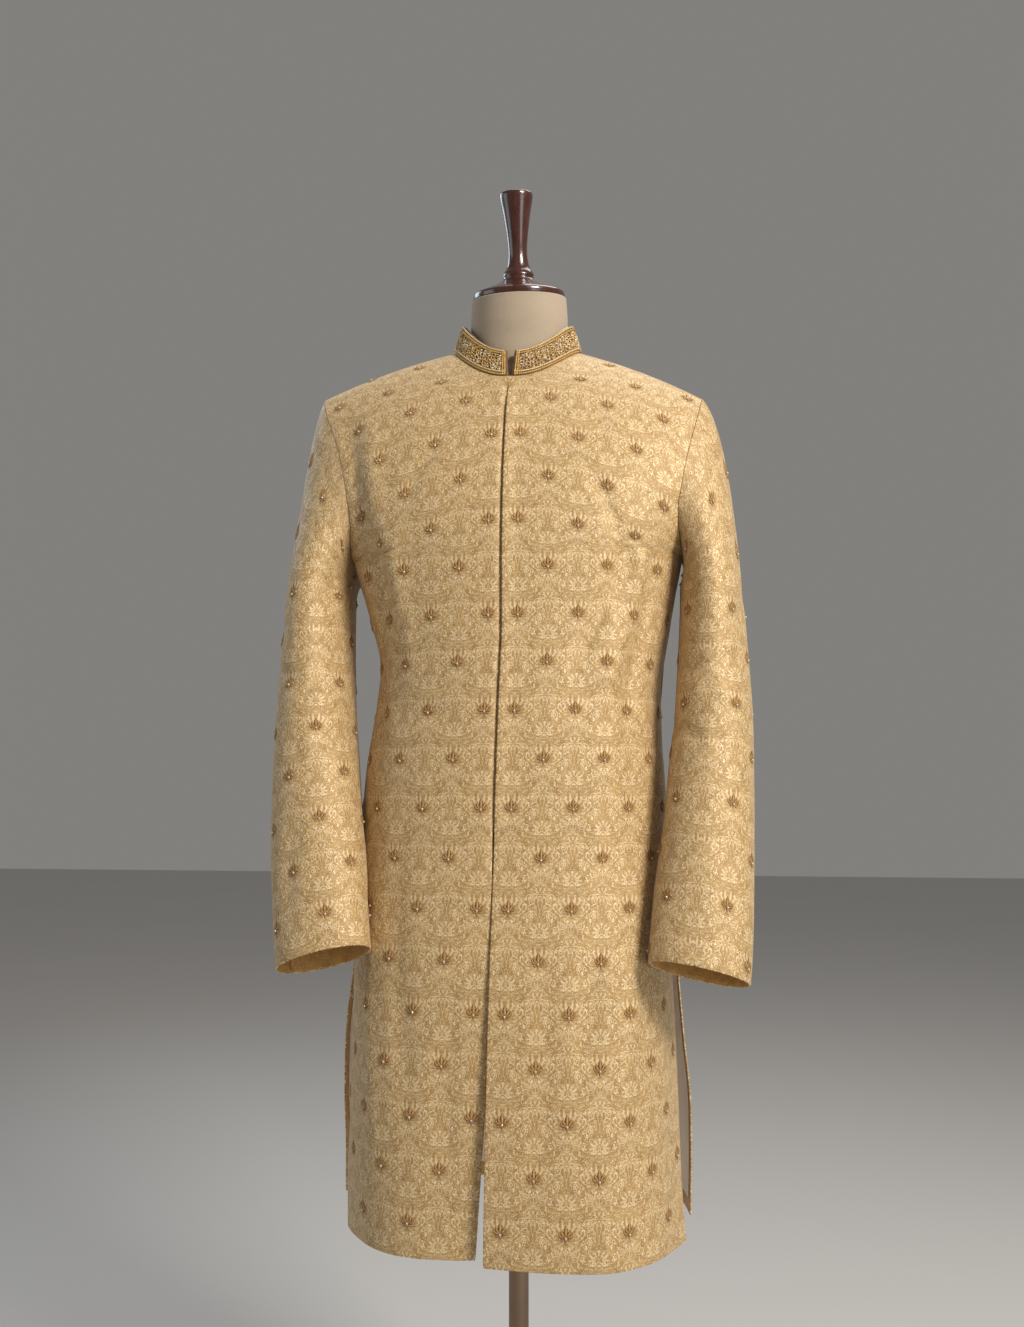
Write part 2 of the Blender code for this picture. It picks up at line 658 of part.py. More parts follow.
def build_sleeve(suffix, side, material, collection):
    """The top sleeve over the shoulder and the under sleeve beneath the arm."""
    outer, top = sleeve_grid(side)
    normal = grid_normals(outer, wrap=True)
    if float(np.dot(normal[8, top - 1], np.array([1.0, 0.0, 0.0]))) < 0.0:
        normal = -normal
    for k in range(outer.shape[1]):
        edge = normal[0, k].copy()
        edge[0] = min(edge[0], 0.0)
        normal[0, k] = unit(edge)
    inner = outer - WALL * normal
    count = outer.shape[1]
    front_seam = FRONT_SLEEVE_SEAM
    back_seam = count - BACK_SLEEVE_SEAM
    spans = {
        "sleeve_top_" + suffix: list(range(front_seam, back_seam + 1)),
        "sleeve_under_" + suffix: list(range(back_seam, count)) + list(range(0, front_seam + 1)),
    }
    for name, span in spans.items():
        grids = [outer[:, span].copy(), inner[:, span].copy()]
        for grid in grids:
            draw_back(grid, 0, SEAM_GAP / 2)
            draw_back(grid, -1, SEAM_GAP / 2)
        sheet(name, mirrored(grids[0], side), mirrored(grids[1], side), material, collection)


def collar_base(degrees, side):
    """The neckline on the coat's surface, from the centre front (0) to the centre back (180)."""
    front = degrees <= 90.0
    limit = neck_limit(front)
    local = degrees if front else 180.0 - degrees
    share = neck_share(local, side, front)
    x = NECK_HALF_WIDTH * math.sin(math.radians(degrees))
    y = -limit * math.cos(math.radians(degrees))
    return np.array([x, y, UNDERARM_Z + share * (shoulder_z(x, side) - UNDERARM_Z)])


def collar_half(side):
    """Rows up the band and columns from the front end to the centre back, outer and inner."""
    outer = []
    inner = []
    top_x, top_front, top_back = COLLAR_TOP
    for share, lift in COLLAR_ROWS:
        row_out = []
        row_in = []
        gap = COLLAR_END_GAP[0] * (1 - share) + COLLAR_END_GAP[1] * share
        reach = NECK_HALF_WIDTH * (1 - share) + top_x * share
        first = math.degrees(math.asin(gap / 2 / reach))
        turns = [first] + list(FRONT_NECK_DEG[1:]) + [180.0 - d for d in BACK_NECK_DEG[-2::-1]]
        for degrees in turns:
            base = collar_base(degrees, side)
            turn = math.radians(degrees)
            limit = -top_front if degrees <= 90.0 else top_back
            top = np.array([top_x * math.sin(turn), -limit * math.cos(turn), base[2] + COLLAR_HEIGHT])
            base[2] += COLLAR_LIFT
            bow = 0.0016 * math.sin(math.pi * share)
            point = base * (1 - share) + top * share
            depth = limit
            away = unit(np.array([math.sin(turn) * depth, -math.cos(turn) * reach, 0.0]))
            row_out.append(point + away * (bow + lift))
            row_in.append(point + away * (bow - COLLAR_WALL))
        outer.append(row_out)
        inner.append(row_in)
    return np.array(outer), np.array(inner)


def build_collar(material, collection):
    grids = []
    for left, right in zip(collar_half(1), collar_half(-1)):
        other = mirrored(right, -1.0)[:, ::-1]
        grids.append(np.concatenate([left, other[:, 1:]], axis=1))
    sheet("collar", grids[0], grids[1], material, collection)


def build_placket(material, collection):
    """The strip behind the front closing."""
    heights = [z for z in LOWER_ROWS if PLACKET_BOTTOM_Z < z] + [1.24, 1.29, 1.33, 1.36]
    heights = [PLACKET_BOTTOM_Z] + heights + [PLACKET_TOP_Z]
    outer = []
    for z in heights:
        middle = read_closing(1, z)
        row = []
        for offset in (-1.0, 0.0, 1.0):
            x = middle + offset * PLACKET_HALF_WIDTH
            if z <= UNDERARM_Z:
                curve = lower_curve(z, 1, True)
                y = np.interp(abs(x), curve[:, 0], curve[:, 1])
            else:
                share = (z - UNDERARM_Z) / (SHOULDER_TOP_Z - UNDERARM_Z)
                y = -chest_depth(share, True)
            row.append((x, y, z))
        outer.append(row)
    outer = np.array(outer)
    normal = grid_normals(outer)
    start = outer - normal * PLACKET_DEPTH
    sheet("placket", start, start - normal * PLACKET_WALL, material, collection)


def build_lining(name, side, material, collection):
    """Satin behind half of the back skirt, in from the slit edge and the hem."""
    outer = panel_points(side, False, BACK_COLUMNS)
    normal = panel_normals(outer, side, False)
    inner = outer - (WALL + SEAM_GAP) * normal
    top = LOWER_ROWS.index(LINING_TOP_Z)
    grid = inner[:top + 1].copy()
    share = (HEM_Z + LINING_FROM_HEM - LOWER_ROWS[0]) / (LOWER_ROWS[1] - LOWER_ROWS[0])
    grid[0] = grid[0] * (1.0 - share) + grid[1] * share
    draw_back(grid, 0, SEAM_GAP / 2)
    draw_back(grid, -1, LINING_FROM_SLIT)
    back = grid - LINING_WALL * normal[:top + 1]
    sheet(name, mirrored(grid, side), mirrored(back, side), material, collection)


def form_row(kind, value, side):
    """Half of the form's section before its inset: front, arm plate, back."""
    shares = np.linspace(0.0, 1.0, FORM_COLUMNS)
    halves = []
    for front in (True, False):
        if kind == "lower":
            half_width = look_up(BODY, 1, value)
            depth = look_up(BODY, 2 if front else 3, value)
            exponent = 2.0 / look_up(BODY, 4, value)
            curve = []
            wider = look_up(WIDER[side], 2, value)
            for angle in np.linspace(0.0, math.pi / 2, 160):
                x = half_width * power(math.sin(angle), exponent)
                y = depth * abs(math.cos(angle)) ** exponent
                out = x + wider * (x / half_width) ** 2
                curve.append((out, shoulder_y(x) + (-y if front else y), value))
        elif value >= 1.0:
            xs = np.linspace(0.0, look_up(ARMHOLE[side], 1, 1.0), 160)
            curve = [(x, shoulder_y(x), shoulder_z(x, side)) for x in xs]
        else:
            end = pitch_angle(value, front)
            curve = [upper_point(value, angle, side, front) for angle in np.linspace(0.0, end, 160)]
        halves.append(along(np.array(curve), shares))
    start = halves[0][-1]
    end = halves[1][-1]
    plate = []
    for k in range(1, ARM_PLATE_COLUMNS + 1):
        t = k / (ARM_PLATE_COLUMNS + 1)
        point = start * (1 - t) + end * t
        point[0] += ARM_PLATE_BULGE * math.sin(math.pi * t) * min(1.0, float(np.linalg.norm(end - start)) / 0.05)
        plate.append(point)
    return np.vstack([halves[0], plate, halves[1][::-1]])


def form_inset(kind, value):
    if kind == "lower":
        return FORM_INSET + 0.004 * smooth((1.04 - value) / 0.08)
    if value >= 1.0:
        return FORM_SEAT
    return FORM_INSET + (FORM_NEAR - FORM_INSET) * smooth((value - 0.55) / 0.35)


def build_form(material, collection):
    """The form's body, closed along the shoulders, joined to its neck."""
    rows = [("lower", z) for z in FORM_ROWS_Z] + [("upper", share) for share in FORM_SHARES]
    left = np.array([form_row(kind, value, 1) for kind, value in rows])
    right = np.array([form_row(kind, value, -1) for kind, value in rows])
    full = np.concatenate([left, mirrored(right, -1.0)[:, -2:0:-1]], axis=1)
    normal = grid_normals(full, wrap=True)
    if normal[4, 0, 1] > 0.0:
        normal = -normal
    for column in range(full.shape[1]):
        x = full[-1, column, 0]
        if abs(x) < 1e-6:
            normal[-1, column] = (0.0, 0.0, 1.0)
        else:
            side = 1 if x > 0.0 else -1
            normal[-1, column] = shoulder_normal(x, side) * np.array([side, 1.0, 1.0])
    inset = np.array([form_inset(kind, value) for kind, value in rows])
    points = full - normal * inset[:, None, None]
    points[0, :, :2] *= 0.985
    points[0, :, 2] = FORM_BOTTOM_Z
    points[1, :, 2] = FORM_BOTTOM_Z + 0.003
    work = bmesh.new()
    verts = [[work.verts.new(Vector(point)) for point in row] for row in points]
    count = len(verts[0])
    for r in range(len(verts) - 1):
        for c in range(count):
            d = (c + 1) % count
            work.faces.new([verts[r][c], verts[r][d], verts[r + 1][d], verts[r + 1][c]])
    work.faces.new(verts[0][::-1])
    bmesh.ops.remove_doubles(work, verts=work.verts[:], dist=2e-5)
    bmesh.ops.triangulate(work, faces=work.faces[:])
    if work.calc_volume(signed=True) < 0.0:
        bmesh.ops.reverse_faces(work, faces=work.faces[:])
    mesh = bpy.data.meshes.new("dress_form")
    work.to_mesh(mesh)
    work.free()
    body = add_object("dress_form", mesh, material, collection)
    neck = neck_object(material, collection)
    join = body.modifiers.new("neck", "BOOLEAN")
    join.operation = "UNION"
    join.solver = "EXACT"
    join.object = neck
    neck.hide_render = True
    neck.display_type = "WIRE"
    return body


def neck_object(material, collection):
    """The neck column, its top plane tilted forward."""
    work = bmesh.new()
    rings = []
    for z, half_x, half_y, centre_y in NECK:
        tilt = smooth((z - 1.42) / 0.10) * math.tan(NECK_TILT)
        ring = []
        for k in range(ROUND_STEPS):
            turn = 2.0 * math.pi * (k + 0.5) / ROUND_STEPS
            x = NECK_X + half_x * math.cos(turn)
            y = half_y * math.sin(turn)
            height = NECK_TOP_Z if z == NECK[-1][0] else z
            ring.append(work.verts.new(Vector((x, centre_y + y, height + y * tilt))))
        rings.append(ring)
    for low, high in zip(rings, rings[1:]):
        for k in range(ROUND_STEPS):
            n = (k + 1) % ROUND_STEPS
            work.faces.new([low[k], low[n], high[n], high[k]])
    work.faces.new(rings[0][::-1])
    work.faces.new(rings[-1])
    mesh = bpy.data.meshes.new("neck_column")
    work.to_mesh(mesh)
    work.free()
    return add_object("neck_column", mesh, material, collection)


def turned(name, profile, steps, matrix, material, collection):
    """A solid of revolution from radius and height pairs, by a Screw."""
    work = bmesh.new()
    verts = [work.verts.new(Vector((radius, 0.0, height))) for radius, height in profile]
    for low, high in zip(verts, verts[1:]):
        work.edges.new((low, high))
    mesh = bpy.data.meshes.new(name)
    work.to_mesh(mesh)
    work.free()
    made = add_object(name, mesh, material, collection)
    screw = made.modifiers.new("turn", "SCREW")
    screw.steps = steps
    screw.render_steps = steps
    screw.use_merge_vertices = True
    screw.merge_threshold = 0.00002
    screw.use_normal_flip = True
    made.matrix_world = matrix
    return made


def make_material(name, colour, roughness, metallic=0.0):
    made = bpy.data.materials.new(name)
    made.use_nodes = True
    made.diffuse_color = (*colour, 1.0)
    shader = made.node_tree.nodes["Principled BSDF"]
    shader.inputs["Base Color"].default_value = (*colour, 1.0)
    shader.inputs["Roughness"].default_value = roughness
    shader.inputs["Metallic"].default_value = metallic
    return made


def main():
    for old in list(bpy.data.objects):
        bpy.data.objects.remove(old, do_unlink=True)
    collection = bpy.data.collections.new(COLLECTION)
    bpy.context.scene.collection.children.link(collection)

    brocade = make_material("brocade", (0.62, 0.44, 0.22), 0.6)
    embroidery = make_material("embroidery", (0.55, 0.36, 0.17), 0.5)
    satin = make_material("satin", (0.62, 0.60, 0.56), 0.4)
    form_cloth = make_material("form_cloth", (0.78, 0.70, 0.58), 0.9)
    wood = make_material("wood", (0.10, 0.03, 0.02), 0.25)
    steel = make_material("brushed_steel", (0.60, 0.56, 0.50), 0.35, 1.0)
    base_metal = make_material("base_metal", (0.10, 0.10, 0.11), 0.5, 0.6)

    build_panel("front_left", 1, True, brocade, collection)
    build_panel("front_right", -1, True, brocade, collection)
    build_panel("back_left", 1, False, brocade, collection)
    build_panel("back_right", -1, False, brocade, collection)
    build_sleeve("left", 1, brocade, collection)
    build_sleeve("right", -1, brocade, collection)
    build_collar(embroidery, collection)
    build_placket(satin, collection)
    build_lining("back_lining_left", 1, satin, collection)
    build_lining("back_lining_right", -1, satin, collection)
    build_form(form_cloth, collection)

    cap_place = Matrix.Translation((NECK_X, NECK_TOP_Y, NECK_TOP_Z + 0.0003)) @ Matrix.Rotation(NECK_TILT, 4, "X")
    turned("neck_cap", CAP_PROFILE, ROUND_STEPS, cap_place, wood, collection)
    base_top = BASE_PROFILE[-1][1]
    pole_top = FORM_BOTTOM_Z - 0.0003
    pole_profile = ((0.0, base_top + 0.0003), (POLE_RADIUS, base_top + 0.0003), (POLE_RADIUS, pole_top),
                    (0.0, pole_top))
    turned("pole", pole_profile, ROUND_STEPS, Matrix.Identity(4), steel, collection)
    turned("base", BASE_PROFILE, 40, Matrix.Identity(4), base_metal, collection)


main()
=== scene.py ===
"""Looks of a sherwani coat on a limbless dress form with a turned wooden neck cap.

Axes: +Z is up, the coat's front faces -Y and +X is the wearer's left. Every size is in metres. Each
cloth piece follows the surface of its own solid, worked out from the same sizes with finer rows, and
its pattern and embroidery are laid out in the cloth's own measures: the length round the body from
the front closing, and the length up the cloth.
"""

from __future__ import annotations

import logging
from dataclasses import dataclass, field, replace
from enum import Enum
from math import asin, ceil, cos, degrees, floor, pi, radians, sin, sqrt, tan, tau
from typing import Sequence

import bmesh
import bpy
import numpy as np
from mathutils import Matrix, Vector

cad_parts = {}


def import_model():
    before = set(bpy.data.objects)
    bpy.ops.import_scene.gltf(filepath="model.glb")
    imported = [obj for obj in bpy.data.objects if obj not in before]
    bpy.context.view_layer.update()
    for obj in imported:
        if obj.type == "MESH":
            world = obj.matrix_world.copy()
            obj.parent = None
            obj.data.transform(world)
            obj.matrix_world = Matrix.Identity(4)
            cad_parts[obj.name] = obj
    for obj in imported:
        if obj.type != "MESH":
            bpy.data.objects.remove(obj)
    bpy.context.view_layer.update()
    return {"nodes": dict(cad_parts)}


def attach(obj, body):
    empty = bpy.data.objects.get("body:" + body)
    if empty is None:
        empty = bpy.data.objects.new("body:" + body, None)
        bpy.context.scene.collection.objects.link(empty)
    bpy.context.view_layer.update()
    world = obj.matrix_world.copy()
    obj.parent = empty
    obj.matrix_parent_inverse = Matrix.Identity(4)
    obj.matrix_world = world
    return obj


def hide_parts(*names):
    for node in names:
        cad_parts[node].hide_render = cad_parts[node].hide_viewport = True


LOG = logging.getLogger("sherwani")
ROOT = "root"
SEED = 11
UP = np.array([0.0, 0.0, 1.0])
TINY = 1e-12
CHART_STEP = 0.0025
WELD = 0.00002
CAP_GAP = 0.0003
Array = np.ndarray
Number = float | Array
Row = tuple[float, ...]
Pair = tuple[float, float]
Triple = tuple[float, float, float]
Material = bpy.types.Material
Piece = bpy.types.Object
Socket = bpy.types.NodeSocket
BODY_COLUMNS = ("z", "half_width", "front", "back", "exponent")


class Side(Enum):
    """The wearer's side that a piece is on; the value is the sign of its x."""

    LEFT = 1
    RIGHT = -1


class Face(Enum):
    """Whether a panel is one of the fronts or one of the backs."""

    FRONT = "front"
    BACK = "back"


LEFT, RIGHT = Side
FRONT, BACK = Face


def unit(vectors: Array) -> Array:
    """The vectors along the last axis, at length 1."""
    return vectors / np.maximum(np.linalg.norm(vectors, axis=-1, keepdims=True), TINY)


def hermite(
    t: Number, low: Array, leave: Array, high: Array, arrive: Array,
) -> Array:
    """A cubic curve between two values.

    Args:
        t: Share of the way, 0 to 1.
        low: The first value.
        leave: The slope that it leaves with.
        high: The second value.
        arrive: The slope that it arrives with.

    Returns:
        The value or values there.
    """
    return (
        (2 * t ** 3 - 3 * t ** 2 + 1) * low + (t ** 3 - 2 * t ** 2 + t) * leave
        + (-2 * t ** 3 + 3 * t ** 2) * high + (t ** 3 - t ** 2) * arrive
    )


def monotone_slopes(xs: Array, ys: Array) -> Array:
    """Slopes of a monotone cubic through points.

    Args:
        xs: Rising positions.
        ys: A value at each position.

    Returns:
        A slope at each position.
    """
    step = np.diff(xs)
    rise = np.diff(ys) / step
    result = np.zeros(len(xs))
    result[0] = rise[0]
    result[-1] = rise[-1]
    for i in range(1, len(xs) - 1):
        if rise[i - 1] * rise[i] > 0.0:
            a = 2.0 * step[i] + step[i - 1]
            b = step[i] + 2.0 * step[i - 1]
            result[i] = (a + b) / (a / rise[i - 1] + b / rise[i])
    return result


class Table:
    """Rows of sizes with named columns, read by a monotone cubic on the first column."""

    def __init__(self, names: Sequence[str], rows: Sequence[Sequence[float]]) -> None:
        """Sorts the rows by their first column.

        Args:
            names: A name for each column.
            rows: The rows of sizes.
        """
        self.names = list(names)
        self.values = np.array(sorted(rows), dtype=float)
        keys = self.values[:, 0]
        self.slopes = np.stack([monotone_slopes(keys, column) for column in self.values.T], axis=1)

    def read(self, name: str, at: Number) -> Array:
        """A column's value at values of the first column.

        Args:
            name: The column's name.
            at: Where to read it.

        Returns:
            The value or values there.
        """
        column = self.names.index(name)
        xs = self.values[:, 0]
        ys = self.values[:, column]
        slope = self.slopes[:, column]
        at = np.clip(at, xs[0], xs[-1])
        i = np.clip(np.searchsorted(xs, at, side="right") - 1, 0, len(xs) - 2)
        width = xs[i + 1] - xs[i]
        t = (at - xs[i]) / width
        return hermite(t, ys[i], width * slope[i], ys[i + 1], width * slope[i + 1])

    def straight(self, name: str, at: Number) -> Array:
        """A column's value by straight steps between the rows."""
        return np.interp(at, self.values[:, 0], self.values[:, self.names.index(name)])


BODY = Table(BODY_COLUMNS, (
    (0.45, 0.199, 0.176, 0.12, 2.6), (0.58, 0.196, 0.167, 0.12, 2.55),
    (0.71, 0.19, 0.159, 0.119, 2.5), (0.83, 0.186, 0.147, 0.118, 2.42),
    (0.95, 0.179, 0.139, 0.115, 2.34), (1.06, 0.166, 0.133, 0.11, 2.3),
    (1.13, 0.178, 0.131, 0.114, 2.3), (1.2, 0.197, 0.131, 0.12, 2.3),
))
ARMHOLE = {
    LEFT: Table(("share", "half_width"), (
        (0.0, 0.197), (0.21, 0.193), (0.356, 0.1977), (0.495, 0.2028), (0.636, 0.209),
        (0.793, 0.2163), (1.0, 0.224),
    )),
    RIGHT: Table(("share", "half_width"), (
        (0.0, 0.197), (0.19, 0.19), (0.335, 0.1935), (0.495, 0.201), (0.665, 0.2136),
        (0.828, 0.2276), (1.0, 0.24),
    )),
}
SHOULDER_FALL = {LEFT: (0.1744, 0.939), RIGHT: (0.0886, 0.789)}
WIDER = {
    LEFT: Table(("z", "front", "back"), (
        (0.45, 0.0, 0.0), (0.51, -0.0055, 0.0015), (0.57, -0.008, 0.002),
        (0.65, -0.0098, -0.0025), (0.73, -0.0105, -0.005), (0.86, -0.007, -0.007),
        (0.965, -0.0052, -0.0052), (1.035, 0.0025, 0.0025), (1.09, 0.0072, 0.0072),
        (1.15, 0.004, 0.004), (1.2, 0.0, 0.0),
    )),
    RIGHT: Table(("z", "front", "back"), (
        (0.45, 0.0, 0.0), (0.51, 0.0012, 0.0015), (0.57, 0.0, 0.005),
        (0.65, 0.0, 0.007), (0.73, 0.0, 0.0035), (0.86, 0.0, 0.0),
        (1.035, -0.0005, -0.0005), (1.09, -0.004, -0.004), (1.15, -0.001, -0.001),
        (1.2, 0.0, 0.0),
    )),
}
HEM_OUTLINE = {
    (LEFT, FRONT): (
        (-0.013, -0.172), (0.02, -0.1748), (0.05, -0.176), (0.081, -0.174), (0.105, -0.1705),
        (0.124, -0.163), (0.145, -0.147), (0.163, -0.126), (0.179, -0.094), (0.191, -0.067),
    ),
    (RIGHT, FRONT): (
        (0.025, -0.153), (0.05, -0.1565), (0.078, -0.157), (0.1, -0.1538), (0.122, -0.1455),
        (0.142, -0.131), (0.163, -0.106), (0.176, -0.086), (0.182, -0.074),
    ),
    (LEFT, BACK): (
        (0.0, 0.122), (0.05, 0.126), (0.095, 0.119), (0.135, 0.108), (0.166, 0.088),
        (0.188, 0.058), (0.197, 0.013),
    ),
    (RIGHT, BACK): (
        (0.0, 0.122), (0.05, 0.126), (0.098, 0.122), (0.142, 0.115), (0.178, 0.099),
        (0.206, 0.07), (0.217, 0.04),
    ),
}
CLOSING = Table(("z", "edge_x", "underlap", "dip"), (
    (0.45, -0.013, -0.012, 0.0), (0.6, -0.011, -0.0032, 0.0002),
    (0.7, -0.0095, -0.0014, 0.0004), (0.78, -0.008, -0.0012, 0.0006),
    (0.84, -0.007, -0.0026, 0.001), (0.88, -0.0064, -0.0032, 0.0022),
    (0.9, -0.006, -0.0006, 0.0032), (0.93, -0.0055, 0.005, 0.0034),
    (1.03, -0.003, 0.005, 0.0034), (1.1, 0.0, 0.005, 0.0034),
    (1.26, 0.0, 0.005, 0.0034), (1.38, 0.0, 0.005, 0.0034),
    (1.395, 0.0, -0.0006, 0.0034), (1.405, 0.0, -0.0005, 0.0),
    (1.5, 0.0, -0.0005, 0.0),
))
SLEEVE_COLUMNS = ("z", "centre_x", "centre_y", "half_x", "half_y")
SLEEVE = {
    LEFT: Table(SLEEVE_COLUMNS, (
        (1.21, 0.2272, -0.02, 0.034, 0.0745), (1.135, 0.2308, -0.03, 0.0372, 0.07),
        (1.037, 0.2303, -0.05, 0.0425, 0.0605), (0.9425, 0.225, -0.073, 0.0472, 0.053),
        (0.851, 0.2188, -0.1, 0.05, 0.046), (0.762, 0.21, -0.125, 0.0535, 0.04),
        (0.74, 0.208, -0.131, 0.053, 0.0395),
    )),
    RIGHT: Table(SLEEVE_COLUMNS, (
        (1.21, 0.2372, -0.02, 0.0355, 0.0745), (1.135, 0.238, -0.03, 0.0398, 0.07),
        (1.037, 0.2344, -0.05, 0.0447, 0.0605), (0.9425, 0.2258, -0.075, 0.0502, 0.053),
        (0.851, 0.2125, -0.106, 0.0528, 0.046), (0.762, 0.1965, -0.138, 0.0528, 0.04),
        (0.749, 0.194, -0.142, 0.0524, 0.0396),
    )),
}
CUFF = {LEFT: (0.74, 0.2, 0.45), RIGHT: (0.749, 0.27, 0.12)}
BROAD_FOLDS = (
    (LEFT, 0.112, 0.018, 1.24, 0.62, 0.0026),
    (LEFT, 0.139, 0.014, 1.22, 0.7, -0.0022),
    (RIGHT, 0.128, 0.015, 1.3, 1.02, 0.0022),
    (RIGHT, 0.15, 0.012, 1.26, 1.04, -0.0018),
    (RIGHT, 0.118, 0.02, 0.95, 0.5, 0.002),
)


def ease(value: Number) -> Array:
    """0 to 1 with level ends."""
    value = np.clip(value, 0.0, 1.0)
    return value * value * (3.0 - 2.0 * value)


def power(value: Array, exponent: float) -> Array:
    """A power that keeps the sign."""
    return np.sign(value) * np.abs(value) ** exponent


def path_length(points: Array) -> Array:
    """Length along a polyline at each of its points."""
    return np.concatenate([[0.0], np.cumsum(np.linalg.norm(np.diff(points, axis=0), axis=1))])


def along(points: Array, shares: Array) -> Array:
    """Points at shares of a polyline's length."""
    length = path_length(points)
    at = np.asarray(shares) * length[-1]
    return np.stack([np.interp(at, length, column) for column in points.T], axis=1)


def pairs_of(first: Array, second: Array) -> Array:
    """Two grids of numbers as one grid of pairs."""
    return np.stack(np.broadcast_arrays(first, second), axis=2)


def dense(values: Sequence[float], steps: int) -> list[float]:
    """The values with evenly spaced ones put between them.

    Args:
        values: The values to keep.
        steps: Spaces between two of them.

    Returns:
        The longer list.
    """
    result: list[float] = []
    for low, high in zip(values, values[1:]):
        result += [low + (high - low) * k / steps for k in range(steps)]
    return result + [values[-1]]


def normals_of(points: Array, wrap: bool = False) -> Array:
    """Unit normals of a grid of points.

    Args:
        points: Rows by columns of points.
        wrap: Whether the last column meets the first.

    Returns:
        A normal at each point, in the sense of the rows by the columns.
    """
    if wrap:
        across = np.roll(points, -1, axis=1) - np.roll(points, 1, axis=1)
    else:
        across = np.gradient(points, axis=1)
    return unit(np.cross(across, np.gradient(points, axis=0)))


@dataclass
class CoatShape:
    """The outer surface of the coat's body, from its heights, widths and closing."""

    hem_z: float = 0.45
    underarm_z: float = 1.2
    slit_top_z: float = 0.86
    slit_blend: float = 1.15
    upper_exponent: float = 2.3
    shoulder_top_z: float = 1.482
    chest_power: Pair = (1.75, 2.6)
    pitch_degrees: Pair = (37.0, 44.0)
    pitch_height: float = 0.45
    neck_half_width: float = 0.077
    neck_depth: Pair = (0.075, 0.062)
    seam_gap: float = 0.0003
    sewn_gap: float = 0.00005
    shoulders_forward: Pair = (0.012, 0.233)
    past_centre: float = -0.25
    dip_width: float = 0.007
    edge_rise: float = 0.0022
    rise_width: float = 0.018
    rise_foot: Pair = (0.86, 0.06)
    rise_head: Pair = (1.395, 0.02)
    fold_fades: Pair = (0.1, 0.14)
    flute_fade: Pair = (1.02, 0.45)
    flute_depth: float = 0.004
    flute_x: float = 0.072
    flute_reach: float = 0.026
    flutes: tuple[Pair, ...] = ((0.35, 1.0), (1.07, -0.8), (1.79, 0.7))

    def shoulder_z(self, x: Number, side: Side) -> Number:
        """Height of the shoulder line at a distance from the centre."""
        linear, square = SHOULDER_FALL[side]
        return self.shoulder_top_z - linear * np.abs(x) - square * x * x

    def shoulder_y(self, x: Number) -> Number:
        """How far the shoulders come forward at a distance from the centre."""
        depth, reach = self.shoulders_forward
        return -depth * (x / reach) ** 2

    def chest_depth(self, share: float, face: Face) -> float:
        """Depth of the chest or back, a share of the way from underarm to shoulder."""
        exponent = self.chest_power[0 if face is FRONT else 1]
        depth = float(BODY.read(face.value, self.underarm_z))
        return depth * (1.0 - share ** exponent) ** (1.0 / exponent)

    def pitch(self, share: float, face: Face) -> float:
        """Angle round the section at which the armhole cuts a row.

        Args:
            share: Share of the way up to the shoulder line.
            face: Front or back.

        Returns:
            The angle from the centre, in radians.
        """
        turn = self.pitch_degrees[0 if face is FRONT else 1]
        if share < self.pitch_height:
            turn *= sqrt(1.0 - (1.0 - share / self.pitch_height) ** 2)
        return radians(90.0 - turn)

    def reach(self, share: float, side: Side, face: Face) -> float:
        """Half width of the whole section that the armhole cuts."""
        width = float(ARMHOLE[side].read("half_width", share))
        return width / sin(self.pitch(share, face)) ** (2.0 / self.upper_exponent)

    def upper_points(self, share: float, angles: Array, side: Side, face: Face) -> Array:
        """Points of a section above the underarm.

        Args:
            share: Share of the way up to the shoulder line.
            angles: Angles round from the centre.
            side: The wearer's side.
            face: Front or back.

        Returns:
            A point for each angle, with x away from the centre on that side.
        """
        exponent = 2.0 / self.upper_exponent
        x = self.reach(share, side, face) * power(np.sin(angles), exponent)
        depth = self.chest_depth(share, face) * power(np.cos(angles), exponent)
        y = self.shoulder_y(x) + (-depth if face is FRONT else depth)
        z = self.underarm_z + share * (self.shoulder_z(x, side) - self.underarm_z)
        return np.stack([x, y, z], axis=1)

    def neck_share(self, degrees: float, side: Side, face: Face) -> float:
        """Share of the row that meets the neckline at an angle from the centre.

        Args:
            degrees: Angle from that face's centre.
            side: The wearer's side.
            face: Front or back.

        Returns:
            Share of the way up to the shoulder line.
        """
        if degrees >= 90.0:
            return 1.0
        limit = self.neck_depth[0 if face is FRONT else 1]
        x = (self.neck_half_width + self.seam_gap) * sin(radians(degrees))
        target = (limit + self.seam_gap) * cos(radians(degrees))
        exponent = 2.0 / self.upper_exponent
        low = 0.5
        high = 1.0
        for _ in range(40):
            share = 0.5 * (low + high)
            sine = (x / self.reach(share, side, face)) ** (1.0 / exponent)
            depth = self.chest_depth(share, face) * sqrt(1.0 - sine * sine) ** exponent
            if depth > target:
                low = share
            else:
                high = share
        return 0.5 * (low + high)

    def broad_fold(self, x: Array, z: Number, side: Side, face: Face) -> Array:
        """How far the broad folds lift the cloth along its normal.

        Args:
            x: Distances from the centre.
            z: Height of each.
            side: The wearer's side.
            face: Front or back.

        Returns:
            The lift of each place.
        """
        depth = np.zeros_like(x)
        if face is FRONT:
            for fold_side, centre, reach, top, bottom, lift in BROAD_FOLDS:
                if fold_side is side:
                    fade = ease((top - z) / self.fold_fades[0]) * ease((z - bottom) / self.fold_fades[1])
                    depth += lift * fade * np.exp(-(((x - centre) / reach) ** 2))
            return depth
        fade = ease((self.flute_fade[0] - z) / self.flute_fade[1])
        for place, share in self.flutes:
            across = (x - self.flute_x * place) / self.flute_reach
            depth += share * self.flute_depth * fade * np.exp(-(across ** 2))
        return depth

